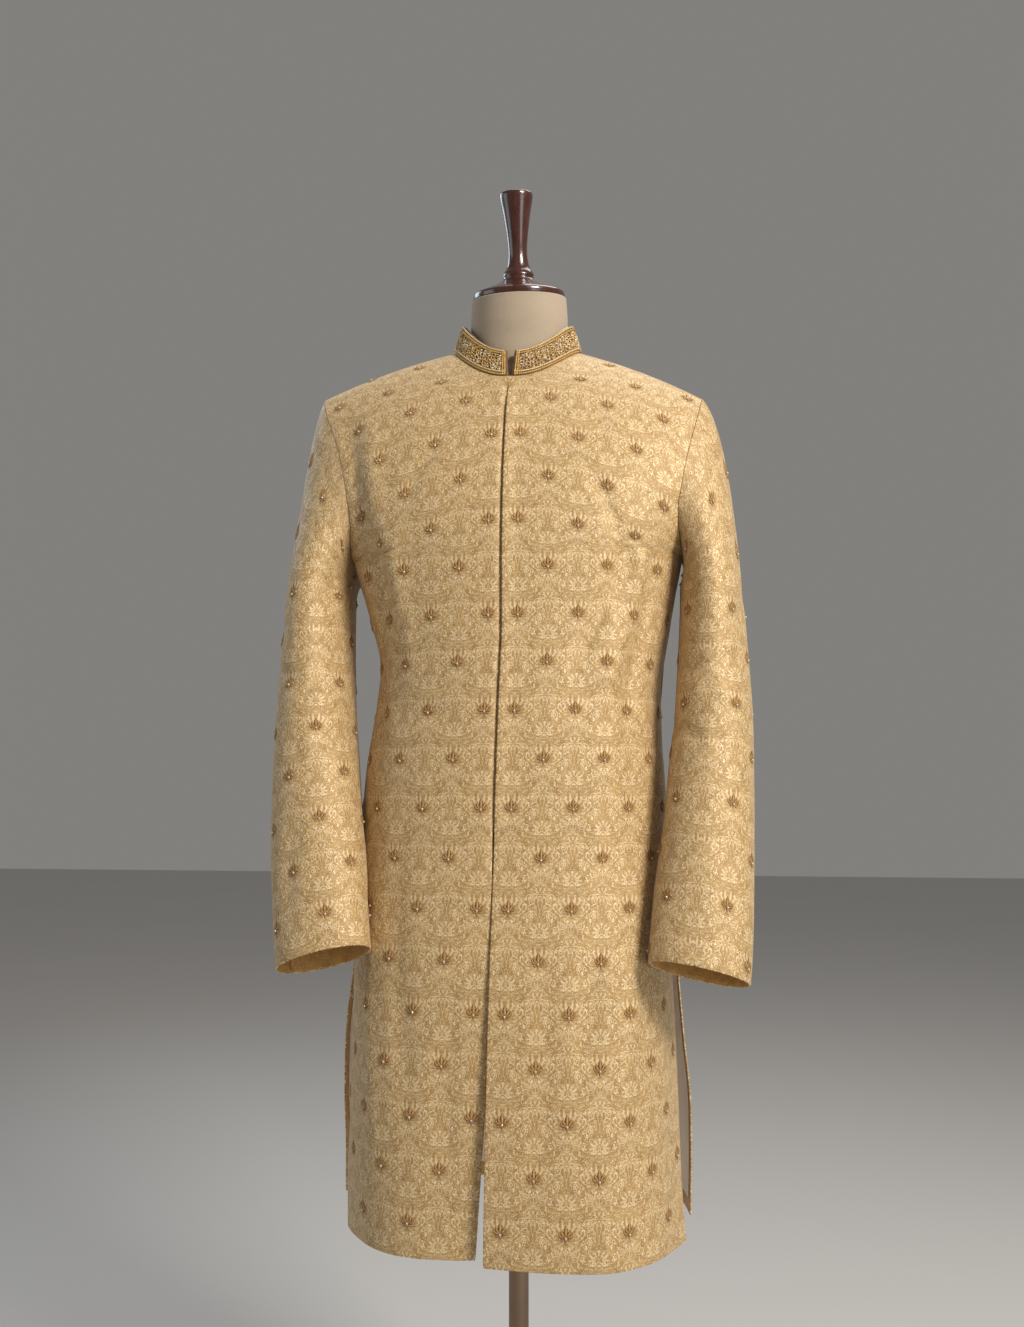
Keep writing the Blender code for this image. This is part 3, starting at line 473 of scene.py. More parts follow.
    def centre_edge(self, z: float, side: Side) -> float:
        """x of a front's centre edge, on its own side.

        Args:
            z: Height above the floor.
            side: The wearer's side.

        Returns:
            The edge's x, below 0 where it laps past the centre.
        """
        edge = float(CLOSING.straight("edge_x", z))
        if side is LEFT:
            return edge
        return -(edge + float(CLOSING.straight("underlap", z)))

    def edge_dip(self, x: Array, z: Number, side: Side) -> Array:
        """How far the right front's edge dips behind the left one, and the left one's edge stands up.

        Args:
            x: Distances from the centre.
            z: Height of each.
            side: The wearer's side.

        Returns:
            The lift of each place.
        """
        edge = CLOSING.straight("edge_x", z)
        if side is LEFT:
            foot = ease((np.asarray(z) - self.rise_foot[0]) / self.rise_foot[1])
            head = ease((self.rise_head[0] - np.asarray(z)) / self.rise_head[1])
            return self.edge_rise * foot * head * ease((self.rise_width - (x - edge)) / self.rise_width)
        return -CLOSING.straight("dip", z) * ease((self.dip_width - (x + edge)) / self.dip_width)

    def lower_curve(self, z: float, side: Side, face: Face, count: int = 150) -> Array:
        """A panel's outline at a height below the underarm, from its centre edge to the side.

        Args:
            z: Height above the floor.
            side: The wearer's side.
            face: Front or back.
            count: Number of points.

        Returns:
            The x and y of each point.
        """
        half_width = float(BODY.read("half_width", z))
        depth = float(BODY.read(face.value, z))
        exponent = 2.0 / float(BODY.read("exponent", z))
        start = self.centre_edge(z, side) if face is FRONT else 0.0
        angles = np.linspace(self.past_centre, pi / 2, count * 2)
        x = half_width * power(np.sin(angles), exponent)
        y = depth * np.abs(np.cos(angles)) ** exponent
        curve = np.stack([x, self.shoulder_y(x) + (-y if face is FRONT else y)], axis=1)
        first = int(np.argmax(curve[:, 0] > start))
        curve = np.vstack([[start, np.interp(start, curve[:, 0], curve[:, 1])], curve[first:]])
        curve = along(curve, np.linspace(0.0, 1.0, count))
        if z < self.slit_top_z:
            hem = self.hem_curve(side, face, count)
            share = ((self.slit_top_z - z) / (self.slit_top_z - self.hem_z)) ** self.slit_blend
            start_share = share if face is BACK else 1.0
            curve = curve * (1.0 - share) + hem * share
            curve[:, 0] += (start - curve[0, 0]) * start_share * np.linspace(1.0, 0.0, count) ** 3
        wider = WIDER[side].read(face.value, z)
        curve[:, 0] += wider * (curve[:, 0] / half_width) ** 2
        return curve

    def hem_curve(self, side: Side, face: Face, count: int) -> Array:
        """The hem's outline as a smooth curve.

        Args:
            side: The wearer's side.
            face: Front or back.
            count: Number of points.

        Returns:
            The x and y of each point.
        """
        outline = np.array(HEM_OUTLINE[(side, face)])
        length = path_length(outline)
        table = Table(("s", "x", "y"), np.column_stack([length, outline]).tolist())
        at = np.linspace(0.0, length[-1], 160)
        curve = np.stack([table.read("x", at), table.read("y", at)], axis=1)
        return along(curve, np.linspace(0.0, 1.0, count))

    def lifted(self, curve: Array, side: Side, face: Face) -> Array:
        """An outline with its broad folds and its dipped centre edge.

        Args:
            curve: The plain outline's points.
            side: The wearer's side.
            face: Front or back.

        Returns:
            The moved points.
        """
        tangent = unit(np.gradient(curve[:, :2], axis=0))
        sign = 1.0 if face is FRONT else -1.0
        lift = self.broad_fold(curve[:, 0], curve[:, 2], side, face)
        if face is FRONT:
            lift = lift + self.edge_dip(curve[:, 0], curve[:, 2], side)
        result = curve.copy()
        result[:, 0] += tangent[:, 1] * lift * sign
        result[:, 1] -= tangent[:, 0] * lift * sign
        return result

    def lower_row(self, z: float, side: Side, face: Face) -> Array:
        """A whole row below the underarm, as a fine polyline."""
        curve = self.lower_curve(z, side, face)
        return self.lifted(np.column_stack([curve, np.full(len(curve), z)]), side, face)

    def upper_row(self, share: float, side: Side, face: Face, neck_degrees: float | None) -> Array:
        """A whole row above the underarm, from the centre edge or neckline to the armhole.

        Args:
            share: Share of the way up to the shoulder line.
            side: The wearer's side.
            face: Front or back.
            neck_degrees: Neckline angle at the row's start, or None.

        Returns:
            The row's points.
        """
        if share >= 1.0:
            last = float(ARMHOLE[side].read("half_width", 1.0))
            x = np.linspace(self.neck_half_width + self.seam_gap, last, 120)
            return np.stack([x, self.shoulder_y(x), self.shoulder_z(x, side)], axis=1)
        angles = np.linspace(self.past_centre, self.pitch(share, face), 240)
        curve = self.upper_points(share, angles, side, face)
        if neck_degrees:
            start = (self.neck_half_width + self.seam_gap) * sin(radians(neck_degrees))
        elif face is FRONT:
            z = self.underarm_z + share * (self.shoulder_top_z - self.underarm_z)
            start = self.centre_edge(z, side)
        else:
            start = 0.0
        first = int(np.argmax(curve[:, 0] > start))
        head = [start] + [float(np.interp(start, curve[:, 0], curve[:, k])) for k in (1, 2)]
        return self.lifted(np.vstack([head, curve[first:]]), side, face)


@dataclass(frozen=True)
class Crease:
    """A soft trough or ridge between two places on a cloth, in metres of cloth."""

    start: Pair
    end: Pair
    reach: float
    lift: float

    def lift_at(self, u: Array, v: Array) -> Array:
        """How far this crease lifts the cloth at places on it.

        Args:
            u: Places round the body.
            v: Places up the cloth.

        Returns:
            The lift along the normal.
        """
        start = np.array(self.start)
        run = np.array(self.end) - start
        length = float(np.linalg.norm(run))
        run = run / length
        du = u - start[0]
        dv = v - start[1]
        s = (du * run[0] + dv * run[1]) / length
        across = du * run[1] - dv * run[0] + self.reach * 0.35 * np.sin(s * 5.0)
        fade = ease((s + 0.15) / 0.4) * ease((1.15 - s) / 0.45)
        return self.lift * fade * np.exp(-((across / self.reach) ** 2))


def crease_rows(*rows: Row) -> tuple[Crease, ...]:
    """Creases from rows of start, end, reach and lift."""
    return tuple(Crease(row[:2], row[2:4], *row[4:]) for row in rows)


class ClothChart:
    """A cloth's surface laid out flat, so that a place on the cloth finds its point in space."""

    def __init__(self, points: Array, normals: Array, u: Array, v: Array) -> None:
        """Resamples the cloth on an even grid of places.

        Args:
            points: Rows by columns of points.
            normals: Outward normals of the points.
            u: Place of each point round the body.
            v: Place of each point up the cloth.
        """
        self.step = CHART_STEP
        self.u0 = float(u.min())
        self.v0 = float(v.min())
        self.us = np.arange(self.u0, float(u.max()) + self.step, self.step)
        self.vs = np.arange(self.v0, float(v.max()) + self.step, self.step)
        stack = np.concatenate([points, normals, v[..., None]], axis=2)
        rows = np.empty((len(stack), len(self.us), 8))
        for r, row in enumerate(stack):
            for k in range(7):
                rows[r, :, k] = np.interp(self.us, u[r], row[:, k])
            rows[r, :, 7] = (self.us >= u[r, 0]) & (self.us <= u[r, -1])
        self.data = np.full((len(self.vs), len(self.us), 6), np.nan)
        for c in range(len(self.us)):
            height = rows[:, c, 6]
            known = np.interp(self.vs, height, rows[:, c, 7], left=0.0, right=0.0) > 0.999
            for k in range(6):
                self.data[known, c, k] = np.interp(self.vs[known], height, rows[:, c, k])

    def place(self, u: Array, v: Array, lift: Number = 0.0) -> Array:
        """Points in space for places on the cloth."""
        value = self.sample(u, v)
        return value[..., :3] + value[..., 3:] * np.asarray(lift)[..., None]

    def sample(self, u: Array, v: Array) -> Array:
        """Point and normal at places on the cloth, six numbers each.

        Args:
            u: Places across the cloth.
            v: Places up the cloth.

        Returns:
            The six numbers of each, nan outside the cloth.
        """
        x = (np.asarray(u) - self.u0) / self.step
        y = (np.asarray(v) - self.v0) / self.step
        outside = (x < 0) | (y < 0) | (x > len(self.us) - 1.001) | (y > len(self.vs) - 1.001)
        c = np.clip(x.astype(int), 0, len(self.us) - 2)
        r = np.clip(y.astype(int), 0, len(self.vs) - 2)
        fx = (x - c)[..., None]
        fy = (y - r)[..., None]
        low = self.data[r, c] * (1 - fx) + self.data[r, c + 1] * fx
        high = self.data[r + 1, c] * (1 - fx) + self.data[r + 1, c + 1] * fx
        result = low * (1 - fy) + high * fy
        result[outside] = np.nan
        return result


def link(name: str, mesh: bpy.types.Mesh, materials: Sequence[Material]) -> Piece:
    """Puts a mesh with its finishes in the scene as an object.

    Args:
        name: The object's name.
        mesh: Its mesh.
        materials: Its finishes, in slot order.

    Returns:
        The object.
    """
    for material in materials:
        mesh.materials.append(material)
    made = bpy.data.objects.new(name, mesh)
    bpy.context.scene.collection.objects.link(made)
    return made


def quads(rows: int, columns: int, start: int = 0, wrap: bool = False) -> list[tuple[int, int, int, int]]:
    """The faces of a grid of points.

    Args:
        rows: Its rows.
        columns: Its columns.
        start: The number of its first point.
        wrap: Whether the last column meets the first.

    Returns:
        Four points for each face.
    """
    faces = []
    for r in range(rows - 1):
        for c in range(columns if wrap else columns - 1):
            a = start + r * columns + c
            b = start + r * columns + (c + 1) % columns
            faces.append((a, b, b + columns, a + columns))
    return faces


def smooth_mesh(
    name: str, points: Array, faces: Sequence[tuple[int, ...]], slots: Sequence[int],
    layer: str, places: Array,
) -> bpy.types.Mesh:
    """Makes a smooth mesh.

    Args:
        name: Its name.
        points: Its points.
        faces: The points of each face.
        slots: The finish of each face.
        layer: The name of its UV map.
        places: The place of each point on that map.

    Returns:
        The mesh.
    """
    mesh = bpy.data.meshes.new(name)
    mesh.from_pydata(points.tolist(), [], faces)
    mesh.polygons.foreach_set("use_smooth", [True] * len(faces))
    mesh.polygons.foreach_set("material_index", slots)
    chart = mesh.uv_layers.new(name=layer)
    corner = np.empty(len(mesh.loops), dtype=np.int32)
    mesh.loops.foreach_get("vertex_index", corner)
    chart.data.foreach_set("uv", places[corner].astype(np.float32).ravel())
    return mesh


@dataclass
class Cloth:
    """A sheet of cloth as two grids of points with a rounded edge between them."""

    name: str
    outer: Array
    inner: Array
    u: Array
    v: Array
    side: Side = LEFT
    sewn: Array | None = None
    rim_steps: int = 3
    seam_bulge: float = 0.04

    def flat_size(self) -> Triple:
        """Width, length and area of the cloth laid flat.

        Returns:
            The three sizes.
        """
        across = np.linalg.norm(np.diff(self.outer, axis=1), axis=2).sum(axis=1)
        up = np.linalg.norm(np.diff(self.outer, axis=0), axis=2).sum(axis=0)
        a = self.outer[1:, 1:] - self.outer[:-1, :-1]
        b = self.outer[1:, :-1] - self.outer[:-1, 1:]
        area = float(np.linalg.norm(np.cross(a, b), axis=2).sum() / 2.0)
        width = float(across.max())
        length = float(up.max())
        return width, length, min(area, width * length)

    def edge_indices(self) -> list[tuple[int, int]]:
        """Rows and columns of the points round the edge, in order.

        Returns:
            A row and a column for each point.
        """
        rows, columns = self.outer.shape[:2]
        loop = [(0, c) for c in range(columns - 1)]
        loop += [(r, columns - 1) for r in range(rows - 1)]
        loop += [(rows - 1, c) for c in range(columns - 1, 0, -1)]
        return loop + [(r, 0) for r in range(rows - 1, 0, -1)]

    def rounded_rim(self) -> tuple[list[Array], list[tuple[int, int]]]:
        """Rings of points that round the edge from the outer wall to the inner one.

        Returns:
            The rings, and the row and column of each point in one.
        """
        loop = self.edge_indices()
        r = np.array([i for i, _ in loop])
        c = np.array([j for _, j in loop])
        rows, columns = self.outer.shape[:2]
        away = np.zeros((len(loop), 3))
        for grid in (self.outer, self.inner):
            away += grid[r, c] - grid[np.clip(r, 1, rows - 2), np.clip(c, 1, columns - 2)]
        middle = (self.outer[r, c] + self.inner[r, c]) / 2.0
        half = (self.outer[r, c] - self.inner[r, c]) / 2.0
        thick = np.linalg.norm(half, axis=1, keepdims=True)
        outward = unit(half)
        away -= (away * outward).sum(axis=1, keepdims=True) * outward
        away = unit(away)
        if self.sewn is not None:
            thick = thick * np.where(self.sewn[r, c], self.seam_bulge, 1.0)[:, None]
        rings = []
        for k in range(1, self.rim_steps + 1):
            turn = pi * k / (self.rim_steps + 1)
            rings.append(middle + half * cos(turn) + away * thick * sin(turn))
        return rings, loop

    def build(self, materials: Sequence[Material]) -> Piece:
        """Makes the sheet as one closed, smooth mesh.

        Args:
            materials: The outer finish and the inner one.

        Returns:
            The new object, with cloth places as its UV map.
        """
        rows, columns = self.outer.shape[:2]
        sign = np.array([float(self.side.value), 1.0, 1.0])
        rings, loop = self.rounded_rim()
        points = np.vstack([self.outer.reshape(-1, 3), self.inner.reshape(-1, 3), *rings]) * sign
        flat = np.column_stack([self.u.ravel(), self.v.ravel()])
        edge_ids = [r * columns + c for r, c in loop]
        places = np.vstack([flat, flat] + [flat[edge_ids]] * len(rings))
        offset = rows * columns
        faces = quads(rows, columns)
        outer_count = len(faces)
        faces += [(a + offset, d + offset, c + offset, b + offset) for a, b, c, d in faces[:outer_count]]
        levels = [edge_ids]
        levels += [[2 * offset + k * len(loop) + i for i in range(len(loop))] for k in range(len(rings))]
        levels.append([i + offset for i in edge_ids])
        for low, high in zip(levels, levels[1:]):
            for i in range(len(loop)):
                j = (i + 1) % len(loop)
                faces.append((low[j], low[i], high[i], high[j]))
        slots = np.zeros(len(faces), dtype=np.int32)
        slots[outer_count:2 * outer_count] = min(1, len(materials) - 1)
        mesh = smooth_mesh(self.name, points, faces, slots, "cloth", places)
        if self.sewn is not None:
            self.keep_seams_crisp(mesh, offset)
        work = bmesh.new()
        work.from_mesh(mesh)
        if work.calc_volume(signed=True) < 0.0:
            bmesh.ops.reverse_faces(work, faces=work.faces[:])
            work.to_mesh(mesh)
        work.free()
        return link(self.name, mesh, materials)

    def keep_seams_crisp(self, mesh: bpy.types.Mesh, offset: int) -> None:
        """Stops the shading from rounding a sewn edge, where the cloth goes on beyond it.

        Args:
            mesh: The finished mesh.
            offset: Number of points in one wall.
        """
        sewn = np.zeros(len(mesh.vertices), dtype=bool)
        sewn[:offset] = self.sewn.ravel()
        sewn[offset:2 * offset] = self.sewn.ravel()
        ends = np.empty(len(mesh.edges) * 2, dtype=np.int32)
        mesh.edges.foreach_get("vertices", ends)
        sharp = mesh.attributes.new("sharp_edge", "BOOLEAN", "EDGE")
        sharp.data.foreach_set("value", sewn[ends.reshape(-1, 2)].all(axis=1))

    def chart(self) -> ClothChart:
        """The outer wall as a chart, on the piece's own side."""
        sign = np.array([float(self.side.value), 1.0, 1.0])
        normal = unit(self.outer - self.inner)
        return ClothChart(self.outer * sign, normal * sign, self.u, self.v)


def draw_in(grid: Array, distance: Number, *edges: str) -> None:
    """Moves edges of a grid in towards their neighbours.

    Args:
        grid: Rows by columns of points, changed in place.
        distance: How far to move them.
        edges: first_column, last_column, first_row or last_row, in order.
    """
    for edge in edges:
        lines = grid.swapaxes(0, 1) if edge.endswith("column") else grid
        here, there = (0, 1) if edge.startswith("first") else (-1, -2)
        lines[here] += unit(lines[there] - lines[here]) * distance


PANEL_CREASES = {
    (LEFT, FRONT): crease_rows(
        (0.15, 1.235, 0.085, 1.06, 0.011, -0.0052), (0.165, 1.215, 0.118, 1.02, 0.01, 0.0042),
        (0.172, 1.19, 0.15, 0.99, 0.01, -0.0042), (0.095, 1.3, 0.14, 1.215, 0.009, -0.0021),
        (0.06, 1.02, 0.15, 1.045, 0.01, -0.0019), (0.125, 0.93, 0.105, 0.64, 0.013, -0.0036),
        (0.16, 0.86, 0.15, 0.56, 0.012, 0.0033), (0.055, 0.76, 0.062, 0.5, 0.014, -0.0021),
    ),
    (RIGHT, FRONT): crease_rows(
        (0.2, 1.4, 0.14, 1.07, 0.017, -0.0058), (0.172, 1.4, 0.114, 1.05, 0.014, 0.0034),
        (0.168, 1.15, 0.155, 0.96, 0.01, -0.0027), (0.07, 1.35, 0.125, 1.27, 0.009, -0.0018),
        (0.05, 1.0, 0.135, 1.03, 0.011, -0.0018), (0.11, 0.9, 0.098, 0.6, 0.014, -0.0033),
        (0.145, 0.82, 0.135, 0.52, 0.012, 0.0027), (0.04, 0.7, 0.046, 0.5, 0.013, -0.0018),
    ),
    (LEFT, BACK): crease_rows(
        (0.15, 1.26, 0.12, 1.08, 0.011, -0.0033), (0.168, 1.18, 0.148, 1.02, 0.01, 0.0027),
        (0.04, 1.06, 0.14, 1.04, 0.01, -0.0024), (0.06, 1.1, 0.15, 1.085, 0.009, 0.0018),
        (0.12, 0.94, 0.11, 0.6, 0.013, -0.0036), (0.05, 0.9, 0.06, 0.56, 0.014, 0.0024),
    ),
    (RIGHT, BACK): crease_rows(
        (0.145, 1.275, 0.115, 1.1, 0.01, -0.003), (0.165, 1.19, 0.15, 1.03, 0.011, 0.0025),
        (0.03, 1.05, 0.13, 1.035, 0.011, -0.0023), (0.07, 1.09, 0.145, 1.07, 0.009, 0.0018),
        (0.13, 0.93, 0.118, 0.62, 0.012, -0.0033), (0.06, 0.88, 0.068, 0.54, 0.014, 0.0023),
    ),
}


@dataclass
class CoatPanels:
    """The two fronts and the two backs, cut from the coat's surface."""

    shape: CoatShape
    wall: float = 0.002
    steps: int = 6
    column_pitch: float = 0.0042
    lower_rows: Row = (
        0.45, 0.47, 0.51, 0.56, 0.61, 0.66, 0.71, 0.75, 0.78, 0.81, 0.84, 0.88, 0.9,
        0.93, 0.975, 1.015, 1.05, 1.085, 1.12, 1.16, 1.2,
    )
    front_shares: Row = (0.12, 0.25, 0.38, 0.5, 0.6, 0.6475, 0.7014, 0.737)
    back_shares: Row = (0.12, 0.25, 0.38, 0.5, 0.62, 0.74, 0.84)
    front_neck: Row = (0.0, 15.0, 32.0, 50.0, 70.0, 90.0)
    back_neck: Row = (0.0, 18.0, 36.0, 54.0, 72.0, 90.0)
    edge_columns: Row = (0.0, 0.001, 0.003, 0.006, 0.009, 0.0125)
    seam_fade: float = 0.022
    centre_fade: float = 0.02
    edge_fade: Pair = (0.002, 0.012)
    top_fade_rows: float = 8.0
    slit_margin: float = 0.02
    edge_in: float = 0.0002

    @staticmethod
    def name(side: Side, face: Face) -> str:
        """A panel's name."""
        return f"{face.value}_{side.name.lower()}"

    def lower_heights(self) -> list[float]:
        """Heights of the rows below the underarm."""
        return dense(self.lower_rows, self.steps)

    def upper_shares(self, side: Side, face: Face) -> list[tuple[float, float | None]]:
        """Share and neckline angle of each row above the underarm.

        Args:
            side: The wearer's side.
            face: Front or back.

        Returns:
            A pair for each row, with None below the neckline.
        """
        front = face is FRONT
        first = self.shape.neck_share(0.0, side, face)
        shares = dense([0.0, *(self.front_shares if front else self.back_shares), first], self.steps)
        rows: list[tuple[float, float | None]] = [(share, None) for share in shares[1:-1]]
        for degrees in dense(self.front_neck if front else self.back_neck, self.steps):
            rows.append((self.shape.neck_share(degrees, side, face), degrees))
        return rows

    def curves(self, side: Side, face: Face) -> list[Array]:
        """Every row of a panel as a fine polyline."""
        rows = [self.shape.lower_row(z, side, face) for z in self.lower_heights()]
        rows += [self.shape.upper_row(s, side, face, d) for s, d in self.upper_shares(side, face)]
        return rows

    def armhole(self, side: Side, face: Face) -> Array:
        """The panel's armhole edge from the underarm to the shoulder tip."""
        rows = self.curves(side, face)
        return np.array([row[-1] for row in rows[len(self.lower_heights()) - 1:]])

    def cut(self, side: Side, face: Face) -> Cloth:
        """One panel with its creases.

        Args:
            side: The wearer's side.
            face: Front or back.

        Returns:
            The panel as a cloth, with x away from the centre.
        """
        curves = self.curves(side, face)
        columns = round(max(path_length(curve)[-1] for curve in curves) / self.column_pitch)
        grid = []
        places = []
        for curve in curves:
            length = path_length(curve)[-1]
            if face is FRONT:
                head = np.array(self.edge_columns[:-1]) / length
                rest = np.linspace(self.edge_columns[-1] / length, 1.0, columns - len(head))
                shares = np.concatenate([head, rest])
            else:
                shares = np.linspace(0.0, 1.0, columns)
            grid.append(along(curve, shares))
            places.append(shares * length)
        outer = np.array(grid)
        u = np.array(places)
        lower = len(self.lower_heights())
        v = np.repeat(outer[:, :1, 2], outer.shape[1], axis=1)
        v[:lower] = outer[:lower, :, 2]
        steps = np.linalg.norm(np.diff(outer[lower - 1:], axis=0), axis=2)
        v[lower:] = outer[lower - 1, :, 2] + np.cumsum(steps, axis=0)
        if face is FRONT:
            heights = outer[:, 0, 2]
            if side is RIGHT:
                u -= CLOSING.straight("underlap", heights)[:, None]
            neck = len(self.upper_shares(side, face)) - len(dense(self.front_neck, self.steps))
            start = lower + neck
            u[start:] += outer[start:, :1, 0]
        else:
            neck = len(dense(self.back_neck, self.steps))
            u[-neck:] += outer[-neck:, :1, 0]
        return self.finish_panel(outer, u, v, side, face)

    def finish_panel(self, outer: Array, u: Array, v: Array, side: Side, face: Face) -> Cloth:
        """Adds the creases and the inner wall, and draws the seam edges back.

        Args:
            outer: The plain outer wall's points.
            u: Places across the cloth.
            v: Places up the cloth.
            side: The wearer's side.
            face: Front or back.

        Returns:
            The panel as a cloth.
        """
        sign = 1.0 if face is FRONT else -1.0
        normal = normals_of(outer) * sign
        lower = len(self.lower_heights())
        heights = outer[:, 0, 2]
        row_numbers = np.arange(len(outer))
        fade = ease((u[:, -1:] - u) / self.seam_fade)
        fade[(row_numbers < lower) & (heights < self.shape.slit_top_z - self.slit_margin)] = 1.0
        start, reach = (0.0, self.centre_fade) if face is BACK else self.edge_fade
        from_top = (len(outer) - 1 - row_numbers)[:, None]
        fade = fade * ease((u + start) / reach) * ease(from_top / self.top_fade_rows)
        lift = sum(crease.lift_at(u, v) for crease in PANEL_CREASES[(side, face)])
        outer = outer + normal * (lift * fade)[..., None]
        normal = normals_of(outer) * sign
        for row in range(lower):
            if heights[row] >= self.shape.slit_top_z:
                normal[row, -1] = (1.0, 0.0, 0.0)
        linear, square = SHOULDER_FALL[side]
        slope = linear + 2.0 * square * np.abs(outer[-1, :, 0])
        shoulder = np.stack([slope, np.zeros_like(slope), np.ones_like(slope)], axis=1)
        normal[-1] = unit(shoulder)
        inner = outer - self.wall * normal
        sewn = np.zeros(u.shape, dtype=bool)
        above_slit = row_numbers >= lower
        above_slit[:lower] = heights[:lower] >= self.shape.slit_top_z
        sewn[above_slit, -1] = True
        sewn[-1] = True
        if face is BACK:
            sewn[:, 0] = True
        seam_in = self.shape.sewn_gap
        side_in = np.where(above_slit, seam_in, self.wall / 2.0)[:, None]
        for grid in (outer, inner):
            draw_in(grid, side_in, "last_column")
            draw_in(grid, seam_in if face is BACK else self.edge_in, "first_column")
            draw_in(grid, seam_in, "last_row")
        return Cloth(self.name(side, face), outer, inner, u, v, side, sewn)


SLEEVE_CREASES = {
    LEFT: crease_rows(
        (-0.08, 0.26, 0.02, 0.235, 0.009, -0.003), (-0.07, 0.3, 0.035, 0.29, 0.008, 0.0024),
        (0.05, 0.34, -0.04, 0.31, 0.009, -0.0024), (0.09, 0.42, 0.02, 0.36, 0.011, -0.0023),
        (-0.05, 0.49, -0.02, 0.38, 0.011, -0.0027), (0.12, 0.24, 0.18, 0.3, 0.01, -0.0033),
        (0.13, 0.33, 0.19, 0.36, 0.01, 0.0024), (0.01, 0.14, 0.04, 0.03, 0.012, -0.0021),
        (-0.1, 0.16, -0.06, 0.05, 0.012, 0.0021),
    ),
    RIGHT: crease_rows(
        (-0.085, 0.25, 0.015, 0.225, 0.009, -0.0033), (-0.07, 0.29, 0.03, 0.275, 0.008, 0.0024),
        (0.055, 0.33, -0.045, 0.3, 0.009, -0.0025), (0.085, 0.41, 0.025, 0.35, 0.011, -0.0021),
        (-0.055, 0.5, -0.025, 0.39, 0.011, -0.0027), (0.125, 0.23, 0.185, 0.29, 0.01, -0.0033),
        (0.135, 0.32, 0.19, 0.35, 0.01, 0.0024), (0.005, 0.15, 0.035, 0.04, 0.012, -0.0023),
        (-0.105, 0.15, -0.065, 0.06, 0.012, 0.0019),
    ),
}


